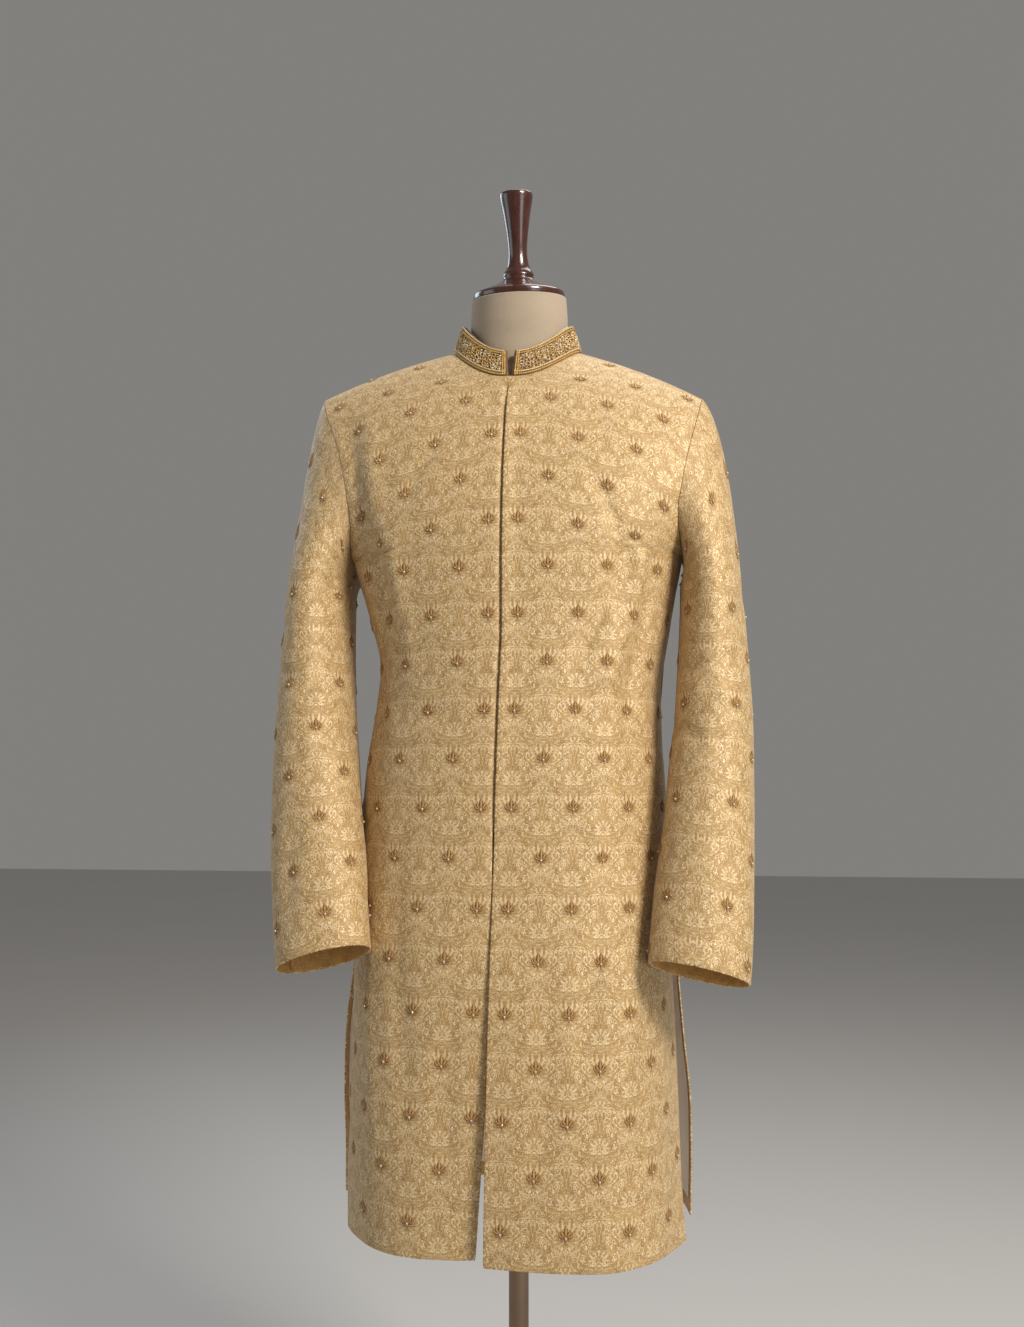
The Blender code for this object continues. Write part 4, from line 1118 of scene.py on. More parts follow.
@dataclass
class CoatSleeves:
    """The two sleeves, each of a top and an under piece."""

    shape: CoatShape
    panels: CoatPanels
    wall: float = 0.002
    join_z: float = 1.16
    below: float = 0.02
    slope_back: float = 0.33
    cap_rows: Row = (0.0, 0.1, 0.24, 0.4, 0.58, 0.78, 1.0)
    tube_rows: Row = (1.115, 1.07, 1.025, 0.98, 0.935, 0.89, 0.845, 0.8, 0.77)
    steps: int = 6
    front_seam: int = 3
    back_seam: int = 4
    around: int = 240
    guide_row: int = 10
    head_gap: float = 0.0002
    leave_out: float = 0.35
    leave_reach: Pair = (0.9, -0.36)
    arrive_reach: float = 1.05
    seam_fade: float = 0.016
    top_fade_rows: float = 14.0

    def section(self, z: float, side: Side, shares: Array) -> Array:
        """A section of the hanging sleeve, from its inner side round the front and back again.

        Args:
            z: Height above the floor.
            side: The wearer's side.
            shares: Shares of the way round.

        Returns:
            The section's points, tilted like the cuff.
        """
        table = SLEEVE[side]
        centre_x, centre_y, half_x, half_y = (float(table.read(name, z)) for name in SLEEVE_COLUMNS[1:])
        angle = np.linspace(0.0, tau, self.around + 1)
        loop = np.stack([centre_x - half_x * np.cos(angle), centre_y - half_y * np.sin(angle)], axis=1)
        half = self.around // 2
        front = along(loop[:half + 1], np.minimum(shares * 2.0, 1.0))
        back = along(loop[half:], np.maximum(shares * 2.0 - 1.0, 0.0))
        points = np.where((shares <= 0.5)[:, None], front, back)
        cuff_z, slope_out, _ = CUFF[side]
        tilt = float(ease((self.join_z - z) / (self.join_z - cuff_z)))
        drop = self.slope_back * (points[:, 1] - centre_y) + slope_out * (points[:, 0] - centre_x)
        return np.column_stack([points, z - tilt * drop])

    def ring(self, side: Side) -> tuple[Array, int]:
        """The armhole's points up the front and down the back, and how many are on the front."""
        front = self.panels.armhole(side, FRONT)
        back = self.panels.armhole(side, BACK)
        return np.vstack([front, back[-2:0:-1]]), len(front)

    @staticmethod
    def ring_shares(ring: Array, top: int) -> Array:
        """Share of each armhole point: 0 to a half up the front, then to 1 down the back.

        Args:
            ring: The armhole's points.
            top: How many are on the front.

        Returns:
            The shares.
        """
        length = path_length(np.vstack([ring, ring[:1]]))
        front = length[:top] / length[top - 1] * 0.5
        back = 0.5 + (length[top:-1] - length[top - 1]) / (length[-1] - length[top - 1]) * 0.5
        return np.concatenate([front, back])

    def grid(self, side: Side) -> tuple[Array, int]:
        """Rows from the armhole to the cuff by columns round the arm.

        Args:
            side: The wearer's side.

        Returns:
            The points, and the number of columns on the front.
        """
        ring, top = self.ring(side)
        shares = self.ring_shares(ring, top)
        join = self.section(self.join_z, side, shares)
        below = self.section(self.join_z - self.below, side, shares)
        start = ring + np.array([self.shape.seam_gap + self.head_gap, 0.0, 0.0])
        rise = 0.5 - 0.5 * np.cos(tau * shares)
        reach = np.linalg.norm(join - start, axis=1)
        cuff_z, _, cap_reach = CUFF[side]
        out = self.leave_out + cap_reach * rise
        leave = np.stack([out, np.zeros_like(rise), -np.ones_like(rise)], axis=1)
        leave = unit(leave) * (reach * (self.leave_reach[0] + self.leave_reach[1] * rise))[:, None]
        arrive = unit(below - join) * (reach * self.arrive_reach)[:, None]
        rows = [hermite(s, start, leave, join, arrive) for s in dense(self.cap_rows, self.steps)]
        heights = dense([self.join_z, *self.tube_rows, cuff_z], self.steps)[1:]
        rows += [self.section(z, side, shares) for z in heights]
        return np.array(rows)[::-1], top

    def cut(self, side: Side) -> list[Cloth]:
        """The top and the under sleeve of one arm.

        Args:
            side: The wearer's side.

        Returns:
            The two cloths. Their places run round from the front of the arm, and up from the cuff.
        """
        outer, top = self.grid(side)
        closed = np.concatenate([outer, outer[:, :1]], axis=1)
        around = np.concatenate(
            [np.zeros((len(outer), 1)), np.cumsum(np.linalg.norm(np.diff(closed, axis=1), axis=2), axis=1)],
            axis=1)
        front_most = int(np.argmin(outer[self.guide_row, :top * 2, 1]))
        whole = around[:, -1:]
        u = around - around[:, front_most:front_most + 1]
        up = np.linalg.norm(np.diff(outer, axis=0), axis=2)
        v_line = np.concatenate([[0.0], np.cumsum(up[:, front_most])])
        v = np.repeat(v_line[:, None], closed.shape[1], axis=1)
        normal = normals_of(outer, wrap=True)
        middle = outer.mean(axis=1, keepdims=True)
        if float(((outer - middle) * normal).sum()) < 0.0:
            normal = -normal
        seams = [self.front_seam * self.steps, outer.shape[1] - self.back_seam * self.steps]
        lift = sum(crease.lift_at(u[:, :-1], v[:, :-1]) for crease in SLEEVE_CREASES[side])
        away = np.minimum.reduce([
            np.abs(u[:, :-1] - u[:, seam:seam + 1] + shift)
            for seam, shift in ((seams[0], 0.0), (seams[1], 0.0), (seams[1], whole))])
        from_top = (len(outer) - 1 - np.arange(len(outer)))[:, None]
        lift = lift * ease(away / self.seam_fade) * ease(from_top / self.top_fade_rows)
        outer = outer + normal * lift[..., None]
        normal = normals_of(outer, wrap=True) * np.sign((normal * normals_of(outer, wrap=True)).sum())
        edge = normal[-1].copy()
        edge[:, 0] = np.minimum(edge[:, 0], 0.0)
        normal[-1] = unit(edge)
        inner = outer - self.wall * normal
        count = outer.shape[1]
        suffix = side.name.lower()
        top_span = np.arange(seams[0], seams[1] + 1)
        under_span = np.concatenate([np.arange(seams[1], count), np.arange(0, seams[0] + 1)])
        under_u = np.concatenate([u[:, seams[1]:count] - whole, u[:, :seams[0] + 1]], axis=1)
        made = []
        for name, span, places in (
            ("sleeve_top_", top_span, u[:, top_span]), ("sleeve_under_", under_span, under_u),
        ):
            grids = [outer[:, span].copy(), inner[:, span].copy()]
            for grid in grids:
                draw_in(grid, self.shape.sewn_gap, "first_column", "last_column", "last_row")
            sewn = np.zeros(places.shape, dtype=bool)
            sewn[:, [0, -1]] = True
            sewn[-1] = True
            made.append(Cloth(name + suffix, grids[0], grids[1], places, v[:, :len(span)], side, sewn))
        return made


@dataclass
class StandCollar:
    """The standing collar band with its raised borders."""

    shape: CoatShape
    height: float = 0.036
    top_half_width: float = 0.067
    top_front: float = 0.063
    top_back: float = 0.054
    lift: float = 0.0004
    wall: float = 0.0025
    bow: float = 0.0016
    border: float = 0.0007
    end_gap: Pair = (0.004, 0.0095)
    rows: Row = (0.0, 0.05, 0.17, 0.23, 0.5, 0.77, 0.83, 0.95, 1.0)
    raised: Row = (0.0, 1.0, 1.0, 0.0, 0.0, 0.0, 1.0, 1.0, 0.0)
    row_steps: int = 5
    turn_steps: int = 9
    turns: Row = (15.0, 32.0, 50.0, 70.0, 90.0, 108.0, 126.0, 144.0, 162.0, 180.0)

    def base(self, degrees: float, side: Side) -> Array:
        """The neckline on the coat's surface, from the centre front to the centre back.

        Args:
            degrees: Angle from the centre front.
            side: The wearer's side.

        Returns:
            The point.
        """
        face = FRONT if degrees <= 90.0 else BACK
        local = degrees if face is FRONT else 180.0 - degrees
        share = self.shape.neck_share(local, side, face)
        x = self.shape.neck_half_width * sin(radians(degrees))
        limit = self.shape.neck_depth[0 if face is FRONT else 1]
        y = -limit * cos(radians(degrees))
        z = self.shape.underarm_z + share * (float(self.shape.shoulder_z(x, side)) - self.shape.underarm_z)
        return np.array([x, y, z])

    def half(self, side: Side) -> tuple[Array, Array]:
        """Outer and inner points of one half, from the front end to the centre back.

        Args:
            side: The wearer's side.

        Returns:
            The two grids of points.
        """
        turns = dense(self.turns, self.turn_steps)
        fixed = [self.base(d, side) for d in turns]
        outer = []
        inner = []
        shares = dense(self.rows, self.row_steps)
        for share in shares:
            raise_by = self.border * float(np.interp(share, self.rows, self.raised))
            gap = self.end_gap[0] * (1 - share) + self.end_gap[1] * share
            reach = self.shape.neck_half_width * (1 - share) + self.top_half_width * share
            first = degrees(asin(gap / 2 / reach))
            heads = dense([first, self.turns[0]], self.turn_steps)[:-1]
            row_out = []
            row_in = []
            for place, base in zip(heads + turns, [self.base(d, side) for d in heads] + fixed):
                turn = radians(place)
                limit = self.top_front if place <= 90.0 else self.top_back
                x = self.top_half_width * sin(turn)
                top = np.array([x, -limit * cos(turn), base[2] + self.height])
                low = base + np.array([0.0, 0.0, self.lift])
                away = unit(np.array([sin(turn) * limit, -cos(turn) * reach, 0.0]))
                bow = self.bow * sin(pi * share)
                point = low * (1 - share) + top * share
                row_out.append(point + away * (bow + raise_by))
                row_in.append(point + away * (bow - self.wall))
            outer.append(row_out)
            inner.append(row_in)
        return np.array(outer), np.array(inner)

    def cut(self) -> Cloth:
        """The whole band from the left end round the back to the right end.

        Returns:
            The collar as a cloth.
        """
        grids = []
        for left, right in zip(self.half(LEFT), self.half(RIGHT)):
            other = (right * np.array([-1.0, 1.0, 1.0]))[:, ::-1]
            grids.append(np.concatenate([left, other[:, 1:]], axis=1))
        outer, inner = grids
        for grid in grids:
            draw_in(grid, self.wall / 2.0, "first_column", "last_column", "last_row")
        middle = path_length(outer[len(outer) // 2])
        u = np.repeat(middle[None, :], len(outer), axis=0)
        shares = np.array(dense(self.rows, self.row_steps))
        v = np.repeat(shares[:, None] * self.height, outer.shape[1], axis=1)
        return Cloth("collar", outer, inner, u, v)


@dataclass
class PlacketStrip:
    """The narrow strip behind the front closing."""

    shape: CoatShape
    panels: CoatPanels
    bottom_z: float = 0.878
    top_z: float = 1.378
    half_width: float = 0.012
    depth: float = 0.0057
    wall: float = 0.0012
    rows: int = 120
    columns: int = 9
    upper_rows: Row = (1.24, 1.29, 1.33, 1.36)

    def cut(self) -> Cloth:
        """The strip as a cloth.

        Returns:
            The strip's sheet.
        """
        lower = [z for z in self.panels.lower_rows if z > self.bottom_z]
        knots = [self.bottom_z, *lower, *self.upper_rows, self.top_z]
        outer = []
        for z in np.linspace(self.bottom_z, self.top_z, self.rows):
            low = max(k for k in knots if k <= z + 1e-9)
            high = min(k for k in knots if k >= z - 1e-9)
            t = 0.0 if high == low else (z - low) / (high - low)
            outer.append(self.row(low) * (1 - t) + self.row(high) * t)
        surface = np.array(outer)
        normal = normals_of(surface)
        start = surface - normal * self.depth
        u = path_length(surface[0])[None, :].repeat(self.rows, axis=0)
        v = surface[:, :, 2]
        return Cloth("placket", start, start - normal * self.wall, u, v)

    def row(self, z: float) -> Array:
        """The coat's surface over the strip at one height.

        Args:
            z: Height above the floor.

        Returns:
            The row's points.
        """
        middle = float(CLOSING.straight("edge_x", z))
        x = middle + np.linspace(-self.half_width, self.half_width, self.columns)
        if z <= self.shape.underarm_z:
            curve = self.shape.lower_curve(z, LEFT, FRONT)
            y = np.interp(np.abs(x), curve[:, 0], curve[:, 1])
        else:
            share = (z - self.shape.underarm_z) / (self.shape.shoulder_top_z - self.shape.underarm_z)
            y = np.full(len(x), -self.shape.chest_depth(share, FRONT))
        return np.stack([x, y, np.full(len(x), z)], axis=1)


@dataclass
class SkirtLining:
    """The satin behind each half of the back skirt."""

    wall: float = 0.001
    gap: float = 0.0003
    top_z: float = 0.93
    from_hem: float = 0.016
    from_slit: float = 0.007

    def cut(self, back: Cloth) -> Cloth:
        """The lining of one back panel.

        Args:
            back: The back panel that it hangs behind.

        Returns:
            The lining as a cloth.
        """
        heights = back.outer[:, 0, 2]
        rows = np.flatnonzero((heights >= heights[0] + self.from_hem) & (heights <= self.top_z))
        columns = np.flatnonzero(back.u[rows[0]] <= back.u[rows[0], -1] - self.from_slit)
        face = back.inner[np.ix_(rows, columns)]
        normal = unit(back.outer[np.ix_(rows, columns)] - face)
        outer = face - normal * self.gap
        name = "back_lining_" + back.name.split("_")[1]
        u = back.u[np.ix_(rows, columns)]
        v = back.v[np.ix_(rows, columns)]
        return Cloth(name, outer, outer - normal * self.wall, u, v, back.side)


@dataclass(frozen=True)
class RepeatLattice:
    """Where the cloth's motifs fall: the repeat's width and height, and one motif's place."""

    width: float = 0.0668
    height: float = 0.1066
    u0: float = 0.017
    v0: float = 0.4835

    def places(self, u_range: Pair, v_range: Pair) -> list[Pair]:
        """Every motif's place inside a range of the cloth, in a half drop.

        Args:
            u_range: Lowest and highest place across.
            v_range: Lowest and highest place up.

        Returns:
            The places.
        """
        found = []
        first = floor((u_range[0] - self.u0) / (self.width / 2)) - 1
        last = ceil((u_range[1] - self.u0) / (self.width / 2)) + 1
        for column in range(first, last + 1):
            drop = self.height / 2 if column % 2 else 0.0
            low = floor((v_range[0] - self.v0 - drop) / self.height) - 1
            high = ceil((v_range[1] - self.v0 - drop) / self.height) + 1
            for row in range(low, high + 1):
                u = self.u0 + column * self.width / 2
                v = self.v0 + drop + row * self.height
                if u_range[0] <= u <= u_range[1] and v_range[0] <= v <= v_range[1]:
                    found.append((u, v))
        return found


@dataclass
class MeshParts:
    """Points and faces gathered into one mesh, with a thread place and a finish for each face."""

    points: list[Array] = field(default_factory=list)
    faces: list[tuple[int, ...]] = field(default_factory=list)
    slots: list[int] = field(default_factory=list)
    places: list[Array] = field(default_factory=list)
    count: int = 0

    def add_grid(self, grid: Array, places: Array, slot: int, wrap: bool = False) -> None:
        """Adds a grid of points as quads.

        Args:
            grid: Rows by columns of points.
            places: The thread place of each point, two numbers.
            slot: The finish.
            wrap: Whether the last column meets the first.
        """
        rows, columns = grid.shape[:2]
        faces = quads(rows, columns, self.count, wrap)
        self.faces += faces
        self.slots += [slot] * len(faces)
        self.points.append(grid.reshape(-1, 3))
        self.places.append(places.reshape(-1, 2))
        self.count += rows * columns

    def build(self, name: str, materials: Sequence[Material]) -> Piece:
        """Makes the gathered parts into one smooth object."""
        points = np.vstack(self.points)
        mesh = smooth_mesh(name, points, self.faces, self.slots, "thread", np.vstack(self.places))
        return link(name, mesh, materials)


def tube(points: Array, radius: Array, sides: int) -> Array:
    """Rings of points round a line.

    Args:
        points: The line.
        radius: The radius at each of its points.
        sides: Points in each ring.

    Returns:
        A ring for each point of the line.
    """
    tangent = unit(np.gradient(points, axis=0))
    guide = UP
    if abs(float(tangent[:, 2].mean())) > 0.8:
        guide = np.array([0.0, 1.0, 0.0])
    first = unit(np.cross(tangent, guide))
    second = np.cross(tangent, first)
    turn = np.linspace(0.0, tau, sides, endpoint=False)
    ring = first[:, None] * np.cos(turn)[None, :, None] + second[:, None] * np.sin(turn)[None, :, None]
    return points[:, None] + ring * np.asarray(radius)[:, None, None]


@dataclass
class LeafSpray:
    """The small embroidered spray of leaves with one pearl, sewn all over the coat."""

    thickness: float = 0.0011
    pearl: float = 0.0014
    stations: int = 8
    across: int = 5
    sink: float = 0.0001
    bead_steps: tuple[int, int] = (5, 10)
    bead_arc: Pair = (0.02, 0.62 * pi)
    bead_rise: float = 0.7
    probes: tuple[Pair, ...] = (
        (-0.0086, 0.004), (0.0086, 0.004), (-0.006, 0.01), (0.006, 0.01), (0.0, 0.014), (0.0, -0.0058),
    )
    leaves: tuple[tuple[float, float, float, float, float, float], ...] = (
        (0.0, 0.0012, 0.0, 0.0132, 0.0023, 0.0),
        (0.0008, 0.0008, 0.0046, 0.0086, 0.0019, 0.001),
        (-0.0008, 0.0008, -0.0046, 0.0086, 0.0019, -0.001),
        (0.0014, 0.0002, 0.0074, 0.006, 0.0017, 0.0016),
        (-0.0014, 0.0002, -0.0074, 0.006, 0.0017, -0.0016),
        (0.0012, -0.001, 0.0056, -0.0006, 0.0013, 0.001),
        (-0.0012, -0.001, -0.0056, -0.0006, 0.0013, -0.001),
        (0.0, -0.001, 0.0, -0.0048, 0.0013, 0.0),
    )

    def sew(self, parts: MeshParts, chart: ClothChart, u: float, v: float) -> bool:
        """Lays one spray on the cloth.

        Args:
            parts: The mesh to add to.
            chart: The cloth's chart.
            u: The spray's place round the body.
            v: The spray's place up the cloth.

        Returns:
            Whether the cloth reaches far enough for it.
        """
        probes = np.array(self.probes) + (u, v)
        if np.isnan(chart.place(probes[:, 0], probes[:, 1])).any():
            return False
        s = np.linspace(0.0, 1.0, self.stations)
        t = np.linspace(-1.0, 1.0, self.across)
        for u0, v0, u1, v1, half, bend in self.leaves:
            run = np.array([u1 - u0, v1 - v0])
            length = float(np.linalg.norm(run))
            run /= length
            width = half * np.sin(pi * np.clip(s * 0.94 + 0.05, 0.0, 1.0) ** 0.85) ** 0.8
            bow = bend * np.sin(pi * s)
            along_u = u + u0 + run[0] * length * s + run[1] * bow
            along_v = v + v0 + run[1] * length * s - run[0] * bow
            grid_u = along_u[:, None] + run[1] * width[:, None] * t[None, :]
            grid_v = along_v[:, None] - run[0] * width[:, None] * t[None, :]
            rise = self.thickness * np.sqrt(np.maximum(1.0 - t ** 2, 0.0))[None, :]
            lift = -self.sink + rise * np.clip(width / half, 0.2, 1.0)[:, None]
            places = pairs_of(s[:, None] * length * 1000.0, t[None, :])
            parts.add_grid(chart.place(grid_u, grid_v, lift), places, 0)
        self.bead(parts, chart, u, v, self.pearl, 1)
        return True

    def bead(self, parts: MeshParts, chart: ClothChart, u: float, v: float, radius: float, slot: int) -> None:
        """Sews a round bead on the cloth.

        Args:
            parts: The mesh to add to.
            chart: The cloth laid out flat.
            u: Place across the cloth.
            v: Place up the cloth.
            radius: The bead's radius.
            slot: The bead's finish.
        """
        value = chart.sample(np.array([u]), np.array([v]))[0]
        if np.isnan(value).any():
            return
        normal = unit(value[3:])
        side = unit(np.cross(normal, UP))
        up = np.cross(side, normal)
        turn = np.linspace(0.0, tau, self.bead_steps[1], endpoint=False)
        flat = np.cos(turn)[:, None] * side + np.sin(turn)[:, None] * up
        rows = []
        for angle in np.linspace(*self.bead_arc, self.bead_steps[0]):
            rise = normal * radius * (self.bead_rise + cos(angle))
            rows.append(value[:3] + rise + flat * radius * sin(angle))
        parts.add_grid(np.array(rows), np.zeros((*self.bead_steps, 2)), slot, wrap=True)


class Value:
    """A number that changes over a surface; an expression on values adds its Math nodes."""

    def __init__(self, paint: "Paint", socket: Socket) -> None:
        """Wraps a socket of a paint's nodes."""
        self.paint = paint
        self.socket = socket

    def math(self, operation: str, *others: float | Value, clamp: bool = False) -> Value:
        """One Math node on this value.

        Args:
            operation: The node's operation.
            others: The other values it takes.
            clamp: Whether the result stays within 0 and 1.

        Returns:
            The result.
        """
        inputs = {i: value for i, value in enumerate((self, *others))}
        made = self.paint.node("ShaderNodeMath", {"operation": operation, "use_clamp": clamp}, inputs)
        return Value(self.paint, made.outputs[0])

    def __add__(self, other: float | Value) -> Value:
        """Sum."""
        return self.math("ADD", other)

    __radd__ = __add__

    def __sub__(self, other: float | Value) -> Value:
        """Difference."""
        return self.math("SUBTRACT", other)

    def __rsub__(self, other: float) -> Value:
        """Difference from a plain number."""
        return self.math("MULTIPLY_ADD", -1.0, other)

    def __mul__(self, other: float | Value) -> Value:
        """Product."""
        return self.math("MULTIPLY", other)

    __rmul__ = __mul__

    def sine(self) -> Value:
        """Sine."""
        return self.math("SINE")

    def size(self) -> Value:
        """Absolute value."""
        return self.math("ABSOLUTE")

    def folded(self, period: float) -> Value:
        """Distance from the nearest multiple of a period."""
        return self - (self * (1.0 / period)).math("ROUND") * period

    def above(self, low: float, blur: float) -> Value:
        """0 below a limit and 1 above it, with a soft step."""
        return self.math("MULTIPLY_ADD", 1.0 / blur, 0.5 - low / blur, clamp=True)

    def below(self, high: float, blur: float) -> Value:
        """1 below a limit and 0 above it, with a soft step."""
        return self.math("MULTIPLY_ADD", -1.0 / blur, 0.5 + high / blur, clamp=True)

    def either(self, other: Value) -> Value:
        """The larger of two masks."""
        return self.math("MAXIMUM", other)


class Paint:
    """A material under construction, with the few ways of adding nodes to it."""

    def __init__(self, name: str, base: dict[str, float | tuple]) -> None:
        """Starts a material with one main shader.

        Args:
            name: The material's name.
            base: Values of the main shader's own sockets.
        """
        self.material = bpy.data.materials.new(name)
        self.material.use_nodes = True
        self.tree = self.material.node_tree
        self.tree.nodes.clear()
        self.shader = self.node("ShaderNodeBsdfPrincipled", {}, base)
        self.node("ShaderNodeOutputMaterial", {}, {"Surface": self.shader.outputs[0]})

    def node(self, kind: str, settings: dict[str, object], inputs: dict) -> bpy.types.Node:
        """Adds a node.

        Args:
            kind: The node's type.
            settings: Its settings, put in first.
            inputs: A value or a link for each socket named by its name or number.

        Returns:
            The node.
        """
        made = self.tree.nodes.new(kind)
        for name, setting in settings.items():
            setattr(made, name, setting)
        for key, value in inputs.items():
            self.put(made.inputs[key], value)
        return made

    def put(self, socket: Socket, value: object) -> None:
        """Gives a socket a link or a value.

        Args:
            socket: The socket to feed.
            value: A value, a socket or a plain number.
        """
        if isinstance(value, Value):
            value = value.socket
        if isinstance(value, Socket):
            self.tree.links.new(value, socket)
        else:
            socket.default_value = value

    def places(self, layer: str | None, scale: float = 1000.0) -> tuple[Value, Value]:
        """The two places of a UV map, or the object's own x and z, in millimetres for metres.

        Args:
            layer: The UV map's name, or None for the object.
            scale: Millimetres in a metre.

        Returns:
            The two places.
        """
        if layer:
            at, up = self.node("ShaderNodeUVMap", {"uv_map": layer}, {}).outputs[0], 1
        else:
            at, up = self.object_place(), 2
        parted = self.node("ShaderNodeSeparateXYZ", {}, {0: at})
        return Value(self, parted.outputs[0]) * scale, Value(self, parted.outputs[up]) * scale

    def object_place(self) -> Socket:
        """The place on the object itself."""
        return self.node("ShaderNodeTexCoord", {}, {}).outputs["Object"]

    def noise(
        self, scale: float, detail: float = 2.0, at: object = None, stretch: Triple | None = None,
        curl: float = 0.0,
    ) -> Value:
        """A noise between 0 and 1.

        Args:
            scale: Waves in a metre.
            detail: Finer layers.
            at: Where it is read, the object's own place if nothing is given.
            stretch: How much each direction is stretched.
            curl: How much the noise winds round itself.

        Returns:
            The noise.
        """
        if at is None:
            at = self.object_place()
        if stretch is not None:
            at = self.node("ShaderNodeVectorMath", {"operation": "MULTIPLY"}, {0: at, 1: stretch}).outputs[0]
        made = self.node("ShaderNodeTexNoise", {}, {
            "Vector": at, "Scale": scale, "Detail": detail, "Distortion": curl})
        return Value(self, made.outputs[0])

    def vector(self, x: Value, y: Value, z: float | Value = 0.0) -> Socket:
        """A vector of two or three values."""
        return self.node("ShaderNodeCombineXYZ", {}, {0: x, 1: y, 2: z}).outputs[0]

    def mix(self, share: Value, first: object, second: object) -> Socket:
        """A blend of two colours."""
        inputs = {0: share, 6: self.colour(first), 7: self.colour(second)}
        return self.node("ShaderNodeMix", {"data_type": "RGBA"}, inputs).outputs[2]

    @staticmethod
    def colour(value: object) -> object:
        """A colour with its alpha, or a link as it is."""
        return (*value, 1.0) if isinstance(value, tuple) and len(value) == 3 else value

    def dress(self, name: str, value: object) -> None:
        """Gives a socket of the main shader a link or a value."""
        self.put(self.shader.inputs[name], value)

    def bump(self, height: Value, distance: float, strength: float = 1.0) -> None:
        """Raises the surface by a height between 0 and 1."""
        made = self.node("ShaderNodeBump", {}, {"Strength": strength, "Distance": distance, "Height": height})
        self.dress("Normal", made.outputs[0])


